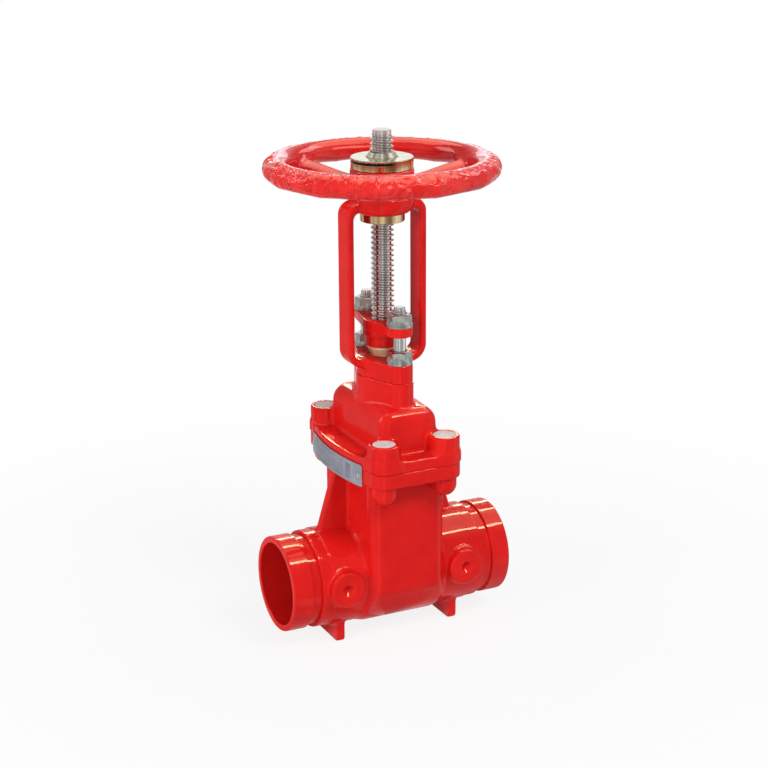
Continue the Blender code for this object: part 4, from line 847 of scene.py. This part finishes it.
def spokeField(x, y, z, angle):
    v = wheel
    u = x * math.cos(angle) + y * math.sin(angle)
    w = -x * math.sin(angle) + y * math.cos(angle)
    share = np.clip((u - v["spokeFrom"]) / v["spokeRun"], 0, 1)
    ease = share * share * (3 - 2 * share)
    level = v["height"] - v["rimDrop"] - v["hubDrop"] * (1 - ease)
    high = v["spokeHigh"] - v["spokeThins"] * ease
    wide = v["spokeWide"] * (1.15 - 0.25 * np.sin(math.pi * share))
    oval = (reach(w / wide, (z - level) / high) - 1) * high
    crest = v["crestHigh"] * np.exp(-(w / v["crestWide"]) ** 2) * (z > level)
    return np.maximum(oval - crest, between(u, 8, v["radius"]))


def wheelField(x, y, z):
    v = wheel
    ring = reach(x, y)
    draw, taper = v["hubTaper"]
    hubRadius = v["hubRadius"] - draw * np.clip((v["hubLow"] + taper - z) / taper, 0, 1)
    whole = meetRound(ring - hubRadius, between(z, v["hubLow"], v["hubTop"]), 1.6)
    for k in range(v["spokes"]):
        whole = joinRound(whole, spokeField(x, y, z, v["angle"] + turn * k / v["spokes"]), 6)
    whole = joinRound(whole, rimField(x, y, z), 4.5)
    return cutRound(whole, ring - v["hole"], 0.4)


handwheel = castSkin("handwheelCasting", wheelField, (-92, -92, 302), (92, 92, 335), wheel["step"])
dress(handwheel, wheelEpoxy, "wheel", "red_epoxy", "handwheel")
print("handwheel cast", len(handwheel.data.polygons))

# ---- gland

gland = {
    "low": 199.2,
    "top": 206.7,
    "end": 10.0,
    "waist": 16.0,
    "joinTop": 203.0,
    "shoulderLow": 193.5,
    "barrel": 14.2,
    "barrelLow": 185.3,
    "hole": 9.6,
    "step": 0.6,
}


def glandField(x, y, z):
    v = gland
    bar = ovalBar(x, y, bonnet["studY"], v["end"], v["waist"])
    bar = meetRound(bar, between(z, v["low"], v["top"]), 1.2)
    ring = reach(x, y)
    barrel = meetRound(ring - v["barrel"], between(z, v["barrelLow"], v["joinTop"]), 1.0)
    shoulder = meetRound(ring - v["waist"], between(z, v["shoulderLow"], v["joinTop"]), 1.2)
    whole = joinRound(joinRound(barrel, shoulder, 0.5), bar, 0.8)
    stud = reach(x, np.abs(y) - bonnet["studY"]) - bonnet["studHole"]
    return cutRound(whole, np.minimum(ring - v["hole"], stud), 0.4)


follower = castSkin("glandFollower", glandField, (-17, -40, 185), (17, 40, 207), gland["step"])
dress(follower, redEpoxy, "valve", "red_epoxy", "gland_flange")
print("gland cast", len(follower.data.polygons))

# ---- stem

trapezium = [
    (0.0, 0), (0.07, 0.02), (0.13, 0.10), (0.20, 0.34), (0.29, 0.78), (0.37, 0.95),
    (0.50, 1), (0.63, 0.95), (0.71, 0.78), (0.80, 0.34), (0.87, 0.10), (0.93, 0.02),
]
stemRod = {
    "radius": 9.0,
    "depth": 2.0,
    "pitch": 4.0,
    "hand": -1,
    "low": 190.0,
    "top": 350.6,
    "threadLow": 198.0,
    "nose": 7.3,
    "sides": 72,
    "wave": trapezium,
}
stemThread = threadedRod("stemThread", stemRod)
dress(stemThread, stainless, "stem", "stainless_steel", "stem")
# painted highlight: the stem's plain end takes the paler steel
dress(rodNose("stemNose", stemRod, 353.5), paintedHighlightSteel, "stem", "stainless_steel")
seat = 67.0  # the backseat collar's upper edge
stemCorners = [
    (0.01, 47.5, 0), (8.2, 47.5, 0.5), (8.2, 59.5, 0), (9.0, 59.5, 0.4), (9.0, seat - 5, 0),
    (12.0, seat - 5, 0.5), (12.0, seat - 2, 0.3), (9.0, seat, 0.3), (9.0, 190.4, 0), (0.01, 190.4, 0),
]
stemShank = spunRing("stemShank", stemCorners, 72)
dress(stemShank, stainless, "stem", "stainless_steel")
stemHead = castSkin(
    "stemHead",
    lambda x, y, z: meetRound(roundedRectangle(x, y, 8.7, 11.8, 1.5), between(z, 42, 49.5), 0.8),
    (-9, -12, 42), (9, 12, 49.5), 0.8,
)
dress(stemHead, stainless, "stem", "stainless_steel")
print("stem cut")

# ---- brass pieces

sleeveCorners = [
    (9.3, 283.6, 0.4), (17.3, 283.6, 0.7), (17.3, 289.9, 0.3), (14.0, 289.9, 0), (14.0, 302.9, 0),
    (13.0, 302.9, 0), (13.0, 323.2, 0), (12.0, 323.2, 0), (12.0, 333.4, 0.8), (10.1, 336.8, 0.5),
    (9.3, 336.8, 0.2),
]
sleeve = spunRing("yokeSleeveTurned", sleeveCorners, 96)
dress(sleeve, [brassTurned, paintedHighlightBrass], "wheel", "brass", "yoke_sleeve")
# painted highlight: the sleeve's top chamfer and face take the pale brass
recolour(sleeve, 1, lambda centre, normal: centre[2] > 332.6)
washerCorners = [(14.3, 300.9, 0), (20.5, 300.9, 0.3), (20.5, 302.9, 0.3), (14.3, 302.9, 0)]
washer = spunRing("thrustWasherTurned", washerCorners)
dress(washer, brassTurned, "valve", "brass", "thrust_washer")
bushCorners = [
    (9.3, 164.0, 0), (13.2, 164.0, 0), (13.2, 169.4, 0.3), (10.4, 170.8, 0.3), (10.4, 178.6, 0.6),
    (12.0, 182.8, 0.4), (12.4, 183.2, 0.2), (12.4, 185.0, 0.4), (9.3, 185.0, 0.3),
]
bush = spunRing("glandBushTurned", bushCorners, 96)
dress(bush, brassDull, "valve", "brass", "gland_bush")

nut = {
    "radius": 24.1,
    "hole": 12.25,
    "low": 324.5,
    "top": 332.9,
    "slit": 330.3,
    "slitWidth": 1.7,
    "slitReach": 4.5,
    "slitTurn": math.radians(-15),
    "step": 0.6,
}


def nutField(x, y, z):
    v = nut
    ring = reach(x, y)
    disc = meetRound(meetRound(ring - v["radius"], z - v["top"], 0.7), v["low"] - z, 0.4)
    along = x * math.cos(v["slitTurn"]) + y * math.sin(v["slitTurn"])
    slit = np.maximum(np.abs(z - v["slit"]) - v["slitWidth"] / 2, along - v["slitReach"])
    return cutRound(cutRound(disc, ring - v["hole"], 0.3), slit, 0.12)


nutLow = (-nut["radius"], -nut["radius"], nut["low"])
nutHigh = (nut["radius"], nut["radius"], nut["top"])
wheelNut = castSkin("wheelNutTurned", nutField, nutLow, nutHigh, nut["step"])
dress(wheelNut, [brassTurned, paintedHighlightBrass, gateIron], "wheel", "brass", "wheel_nut")
# painted highlight: the nut's top face takes the pale brass
recolour(wheelNut, 1, lambda centre, normal: centre[2] > nut["top"] - 0.35)
# painted shade: the faces inside the slit take the dark gate iron finish
recolour(wheelNut, 2, lambda centre, normal: abs(centre[2] - nut["slit"]) < 1 and centre.xy.length < 23.7)
print("brass turned")

# ---- studs, nuts and washers


def flangedNut(name, flats, low, height, hole, centre):  # a hexagon that stands on a cone
    sides = 96
    angles = np.arange(sides) * turn / sides
    sector = (angles + math.pi / 6) % (math.pi / 3) - math.pi / 6
    hexagon = flats / 2 / np.cos(sector)
    facing = flats / 2 * 0.91
    drop = (hexagon - facing) * math.tan(math.radians(30))
    high = low + height
    even = np.ones(sides)
    skirt = []
    for up in (0.6, 1.2, 1.8, 2.4, 3.0, 3.6):
        skirt.append((np.maximum(hexagon, 9.9 - 0.5 * up), even * (low + 1.0 + up)))
    rows = [
        (even * hole, even * (low + 0.4)),
        (even * (hole + 0.5), even * low),
        (even * 9.9, even * low),
        (even * 10.1, even * (low + 0.25)),
        (even * 10.1, even * (low + 0.75)),
        (even * 9.9, even * (low + 1.0)),
        *skirt,
        (hexagon, high - drop),
        (even * facing, even * high),
        (even * (hole + 0.7), even * high),
        (even * hole, even * (high - 0.7)),
    ]
    points = np.stack([np.stack([r * np.cos(angles), r * np.sin(angles), h], -1) for r, h in rows], 1)
    points = (points.reshape(-1, 3) + np.array(centre) + (0, 0, axisLift)) * mm
    return settle(addMesh(name, points, ringQuads(sides, len(rows))), 20)


vee = [(0.0, 0), (0.08, 0.1), (0.25, 0.5), (0.42, 0.95), (0.58, 0.95), (0.75, 0.5), (0.92, 0.1)]
for side, where in ((-1, "Near"), (1, "Far")):
    cad = where.lower()
    spot = (0, side * bonnet["studY"], 0)
    stud = {
        "radius": 5.0, "depth": 0.7, "pitch": 1.5, "hand": 1, "low": 151.0, "top": 220.9,
        "threadLow": 206.0, "nose": 4.3, "sides": 40, "wave": vee,
    }
    rod = threadedRod(f"glandStud{where}", stud, spot)
    dress(rod, brightZincAndPaintedNutHighlight, "valve", "zinc_steel", f"gland_stud_{cad}")
    dress(rodNose(f"glandStudNose{where}", stud, 222.0, spot), brightZincAndPaintedNutHighlight, "valve", "zinc_steel")
    for label, low in (("yoke", 177.22), ("gland", 206.72)):
        ring = [(5.3, low, 0.1), (10.0, low, 0.2), (10.0, low + 1.6, 0.3), (5.3, low + 1.6, 0.1)]
        flat = spunRing(f"{label}Washer{where}", ring, 64, centre=(0, spot[1], axisLift))
        dress(flat, zincPlate, "valve", "zinc_steel", f"{label}_washer_{cad}")
        hexagon = flangedNut(f"{label}Nut{where}", 16.5, low + 1.62, 8.6, 5.3, spot)
        dress(hexagon, [zincPlate, brightZincAndPaintedNutHighlight], "valve", "zinc_steel", f"{label}_nut_{cad}")
        # painted highlight: the nut's upward faces near its top take the brighter zinc
        recolour(hexagon, 1, lambda centre, normal: normal[2] > 0.35 and centre[2] > low + 8)
print("studs and nuts made")

# ---- wax over the cover screws

wax = {"radius": 8.88, "low": 121.4, "edge": 123.3, "top": 123.5}
waxCorners = [
    (0.05, wax["low"], 0), (wax["radius"], wax["low"], 0), (wax["radius"], wax["edge"], 0.3),
    *((r, wax["top"], 0) for r in (6.5, 4.0, 2.0, 0.05)),
]
for k, (sx, sy) in enumerate([(a, b) for a in (-1, 1) for b in (-1, 1)], 1):
    def pour(r, h, angle, seed=k):
        top = h > 123
        swell = 0.25 * np.cos(r / 8.6 * math.pi / 2) + 0.06 * np.sin(3 * angle + seed) * (r / 8.6)
        return r, h + np.where(top, swell - 0.25, 0)

    spot = (sx * body["boltX"], sy * body["boltY"], axisLift)
    plug = spunRing(f"waxPlug{k}", waxCorners, 48, centre=spot, wobble=pour)
    dress(plug, sealingWax, "valve", "white_wax", f"wax_plug_{k}")
print("wax poured")

# ---- nameplate, bare but for its ruled lines

plate = {
    "middleX": body["bow"] - body["flangeX"],
    "inner": body["bow"] + 0.25,
    "outer": body["bow"] + 1.05,
    "low": 88.0,
    "top": 105.4,
    "halfAngle": math.radians(13.8),
    "corner": 2.2,
    "cell": 0.55,
    "rivetAngle": math.radians(12.6),
    "rivetZ": 96.0,
    "rules": (0.16, 0.30, 0.44, 0.58, 0.72, 0.86),
    "ruleHalf": 0.022,
}


def platePoint(radius, length, z):  # length runs along the curve from the plate's middle
    angle = math.pi - length / plate["outer"]
    return (plate["middleX"] + radius * math.cos(angle), radius * math.sin(angle), z + axisLift)


def makePlate():
    v = plate
    half = v["outer"] * v["halfAngle"]
    columns, rows = int(2 * half / v["cell"]), int((v["top"] - v["low"]) / v["cell"])
    points, faces = [], []
    for radius in (v["inner"], v["outer"]):
        for j in range(rows + 1):
            z = v["low"] + (v["top"] - v["low"]) * j / rows
            fromEnd = min(z - v["low"], v["top"] - z)
            tuck = v["corner"] - math.sqrt(max(v["corner"] ** 2 - max(v["corner"] - fromEnd, 0) ** 2, 0))
            for i in range(columns + 1):
                points.append(platePoint(radius, (half - tuck) * (2 * i / columns - 1), z))
    wide, layer = columns + 1, (columns + 1) * (rows + 1)
    for j in range(rows):
        for i in range(columns):
            a = j * wide + i
            faces.append((a, a + wide, a + wide + 1, a + 1))
            faces.append((layer + a, layer + a + 1, layer + a + wide + 1, layer + a + wide))
    edge = list(range(wide)) + [j * wide + columns for j in range(1, rows + 1)]
    edge += [rows * wide + i for i in range(columns - 1, -1, -1)]
    edge += [j * wide for j in range(rows - 1, 0, -1)]
    for k, a in enumerate(edge):
        b = edge[(k + 1) % len(edge)]
        faces.append((a, b, layer + b, layer + a))
    return settle(addMesh("nameplateSheet", np.array(points) * mm, faces), 30)


def ruled(centre, normal):  # two columns of plain ruled lines beside a dark panel
    outward = Vector((centre.x - plate["middleX"], centre.y))
    if outward.length < plate["outer"] - 0.2:
        return False
    angle = math.atan2(-outward.y, -outward.x)  # below zero toward +Y
    across = 0.5 + angle / plate["halfAngle"] / 2
    up = (centre.z - plate["low"]) / (plate["top"] - plate["low"])
    onRule = any(abs(up - level) < plate["ruleHalf"] for level in plate["rules"])
    inColumn = 0.12 < across < 0.48 or 0.52 < across < 0.72
    inPanel = 0.77 < across < 0.84 and 0.16 < up < 0.84
    return (onRule and inColumn) or inPanel


sheet = makePlate()
dress(sheet, [plateMetal, plateInk], "valve", "plate_aluminium", "nameplate")
recolour(sheet, 1, ruled)
rivetCorners = [(0.02, 1.0, 0), (2.4, 1.0, 0.1), (2.4, 1.25, 0.2), (1.6, 1.9, 0.6), (0.02, 2.15, 0)]
for side, where in ((-1, "Near"), (1, "Far")):
    rivet = spunRing(f"plateRivet{where}", rivetCorners, 40, "X", (0, 0, 0))
    lean = side * plate["rivetAngle"]
    swing = Matrix.Rotation(math.pi + lean, 4, "Z")
    shift = Matrix.Translation(Vector((plate["middleX"], 0, plate["rivetZ"] + axisLift)) * mm)
    out = Matrix.Translation(Vector((body["bow"], 0, 0)) * mm)
    rivet.data.transform(shift @ swing @ out)
    dress(rivet, brightZincAndPaintedNutHighlight, "valve", "plate_aluminium", f"plate_rivet_{where.lower()}")
print("nameplate made")

# ---- CAD pieces that show as they are

kept = {
    "bonnet_gasket": blackRubber,
    **{f"cover_screw_{k}": zincPlate for k in (1, 2, 3, 4)},
    "stem_bush": brassTurned,
    **{f"packing_ring_{k}": graphitePacking for k in (1, 2, 3)},
    "drive_key": stainless,
    "gate_core": gateIron,
    "gate_rubber": blackRubber,
    "guide_shoe_near": guidePlastic,
    "guide_shoe_far": guidePlastic,
}
for name, finish in kept.items():
    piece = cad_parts[name]
    for slot in piece.material_slots:
        slot.material = finish
print("kept pieces dressed")

# ---- floor, light and camera

coolWhite = (1.0, 0.86, 0.94)
warmWhite = (1.0, 0.66, 0.48)
studio = {  # metres, watts and degrees
    "floorColour": (0.80, 0.80, 0.80),
    "floorGlow": (0.86, 1.0),
    "floorRadii": (0.20, 0.60),
    "skyStrength": 0.45,
    "skyDim": (1.0, 0.75),
    "skyHeights": (0.35, 0.80),
    "lamps": [("key", (0.5, -1.7, 2.1), 0.9, 0.9, 36.0), ("fill", (-2.0, -0.5, 0.6), 1.2, 0.9, 24.0)],
    "glints": [  # name, place, size, radiance, colour and what it lights
        ("ceiling", (0.3, 0.3, 2.0), (2.6, 2.0), 4.0, warmWhite, "castings"),
        ("ceilingWheel", (0.3, 0.3, 2.0), (2.6, 2.0), 4.5, warmWhite, "wheel"),
        ("glintLeft", (-1.4, 0.8, 1.2), (0.8, 0.8), 5.0, coolWhite, "paint"),
        ("glintRight", (1.4, 0.1, 1.4), (0.8, 0.8), 5.0, coolWhite, "paint"),
        ("glintBack", (0.82, 1.69, 0.88), (1.4, 0.4), 2.4, coolWhite, "paint"),
        ("rimFront", (0.4, -1.6, 1.3), (1.8, 0.7), 7.0, warmWhite, "wheel"),
    ],
    "strips": [(66.0, 65.0), (114.0, 60.0), (149.5, 45.0)],  # height in degrees and radiance
    "stripSize": (1.4, 0.14),
    "stripMiddle": 0.75,
    "stripBase": 0.05,
    "stripColour": (1.0, 0.74, 0.44),
    "stripDistance": 1.6,
    "mirror": [  # how bright the surroundings are in the gloss, as shares of a turn from behind the valve
        (0.00, 0.8), (0.04, 0.45), (0.10, 0.45), (0.14, 0.80), (0.18, 0.80), (0.21, 0.25), (0.24, 0.25),
        (0.27, 0.70), (0.36, 0.60), (0.39, 0.28), (0.41, 1.0), (0.45, 1.0), (0.47, 0.35), (0.60, 0.45),
        (0.64, 1.0), (0.70, 1.0), (0.73, 0.40), (0.82, 0.45), (0.88, 1.0), (0.97, 1.0), (1.00, 0.8),
    ],
}


def mirrorNode(tree, where):
    share = mathNode(tree, "ADD", mathNode(tree, "DIVIDE", aroundNode(tree, where), turn), 0.5)
    return rampNode(tree, share, [(at, (level, level, level)) for at, level in studio["mirror"]])


def mixNode(tree, share, first, second):
    return addNode(tree, "MixShader", {0: share, 1: first, 2: second}).outputs[0]


def reflectedNode(tree, path):  # 1 for a ray that comes off a gloss or through glass
    return mathNode(tree, "MAXIMUM", path.outputs["Is Glossy Ray"], path.outputs["Is Transmission Ray"])


def makeFloor():
    corners = [(-9, -9, 0), (9, -9, 0), (9, 9, 0), (-9, 9, 0)]
    piece = addMesh("floor", corners, [(0, 1, 2, 3)], smooth=False)
    material, tree, shader = newMaterial("paleFloor")
    colour = (*studio["floorColour"], 1)
    setSockets(tree, shader, {"Base Color": colour, "Roughness": 0.9, "Specular IOR Level": 0.1})
    path = addNode(tree, "LightPath", {})
    direct, mirrored = path.outputs["Is Camera Ray"], reflectedNode(tree, path)
    where = placeNode(tree)
    strength = mathNode(tree, "MAXIMUM", mirrorNode(tree, where), direct)
    glow = addNode(tree, "Emission", {"Color": (1, 1, 1, 1), "Strength": strength})
    distance = addNode(tree, "VectorMath", {0: where})
    distance.operation = "LENGTH"
    share = rangeNode(tree, distance.outputs["Value"], *studio["floorGlow"], *studio["floorRadii"])
    share = mathNode(tree, "MAXIMUM", share, mirrored)
    share = mathNode(tree, "MULTIPLY", mathNode(tree, "MAXIMUM", direct, mirrored), share)
    mixed = mixNode(tree, share, shader.outputs[0], glow.outputs[0])
    setSockets(tree, tree.nodes["Material Output"], {"Surface": mixed})
    piece.data.materials.append(material)


def makeWorld():
    world = bpy.data.worlds.new("studio")
    bpy.context.scene.world = world
    world.use_nodes = True
    tree = world.node_tree
    sky = tree.nodes["Background"]
    white = (1, 1, 1, 1)
    setSockets(tree, sky, {"Color": white, "Strength": studio["skyStrength"]})
    path = addNode(tree, "LightPath", {})
    where = addNode(tree, "TexCoord", {}).outputs["Generated"]
    split = addNode(tree, "SeparateXYZ", {0: where})
    high = rangeNode(tree, split.outputs["Z"], *studio["skyDim"], *studio["skyHeights"])
    glow = mathNode(tree, "MULTIPLY", high, mirrorNode(tree, where))
    mirror = addNode(tree, "Background", {"Color": white, "Strength": glow})
    backdrop = addNode(tree, "Background", {"Color": white, "Strength": 1.0})
    unseen = mixNode(tree, reflectedNode(tree, path), sky.outputs[0], mirror.outputs[0])
    mixed = mixNode(tree, path.outputs["Is Camera Ray"], unseen, backdrop.outputs[0])
    setSockets(tree, tree.nodes["World Output"], {"Surface": mixed})


def areaLight(name, place, target, width, height, power, colour=(1, 1, 1)):
    lamp = bpy.data.lights.new(name, "AREA")
    lamp.shape = "RECTANGLE"
    lamp.size, lamp.size_y = width, height
    lamp.energy = power
    lamp.color = colour
    holder = bpy.data.objects.new(name, lamp)
    holder.location = place
    holder.rotation_euler = (Vector(target) - Vector(place)).to_track_quat("-Z", "Y").to_euler()
    bpy.context.scene.collection.objects.link(holder)
    return holder


def lit(name, *pieces):
    group = bpy.data.collections.new(name)
    for piece in pieces:
        group.objects.link(piece)
    return group


def glossLight(name, place, size, radiance, colour, group, target):  # only draws a streak on the paint
    lamp = areaLight(name, place, target, *size, radiance * math.pi * size[0] * size[1], colour)
    lamp.visible_diffuse = lamp.visible_camera = False
    lamp.light_linking.receiver_collection = group


def makeLamps():
    v = studio
    middle = (0, 0, 0.2)
    for name, place, width, height, power in v["lamps"]:
        areaLight(name, place, middle, width, height, power).visible_glossy = False
    groups = {
        "castings": lit("castings", casting, *ends, hood, stand, follower),
        "wheel": lit("wheelOnly", handwheel),
        "paint": lit("painted", casting, *ends, hood, stand, follower, handwheel),
    }
    for name, place, size, radiance, colour, group in v["glints"]:
        glossLight(name, place, size, radiance, colour, groups[group], middle)
    goal = (v["stripMiddle"], 0, v["stripBase"])
    for height, radiance in v["strips"]:
        beta, far = math.radians(height), v["stripDistance"]
        spot = (v["stripMiddle"], -far * math.cos(beta), v["stripBase"] + far * math.sin(beta))
        name = f"strip{height:.0f}"
        glossLight(name, spot, v["stripSize"], radiance, v["stripColour"], groups["castings"], goal)


makeFloor()
makeWorld()
makeLamps()

lens = {
    "azimuth": -25.81,
    "elevation": 17.7,
    "roll": -0.33,
    "distance": 1.45,
    "focal": 86.48,
    "targetRight": 0.6,
    "targetHigh": 152.0,
}


def makeCamera():
    a, e, roll = (math.radians(lens[k]) for k in ("azimuth", "elevation", "roll"))
    back = Vector((math.sin(a) * math.cos(e), -math.cos(a) * math.cos(e), math.sin(e)))
    right = Vector((math.cos(a), math.sin(a), 0))
    up = back.cross(right)
    tiltedRight = right * math.cos(roll) + up * math.sin(roll)
    tiltedUp = -right * math.sin(roll) + up * math.cos(roll)
    target = right * lens["targetRight"] * mm + Vector((0, 0, (lens["targetHigh"] + axisLift) * mm))
    camera = bpy.data.cameras.new("camera")
    camera.lens = lens["focal"]
    camera.sensor_width = 36
    camera.clip_start = 0.05
    camera.clip_end = 60
    holder = bpy.data.objects.new("camera", camera)
    turnTo = Matrix((tiltedRight, tiltedUp, back)).transposed()
    holder.matrix_world = Matrix.Translation(target + back * lens["distance"]) @ turnTo.to_4x4()
    bpy.context.scene.collection.objects.link(holder)
    bpy.context.scene.camera = holder


makeCamera()
bpy.context.scene.view_settings.view_transform = "Standard"
print("studio set")

bpy.context.view_layer.update()
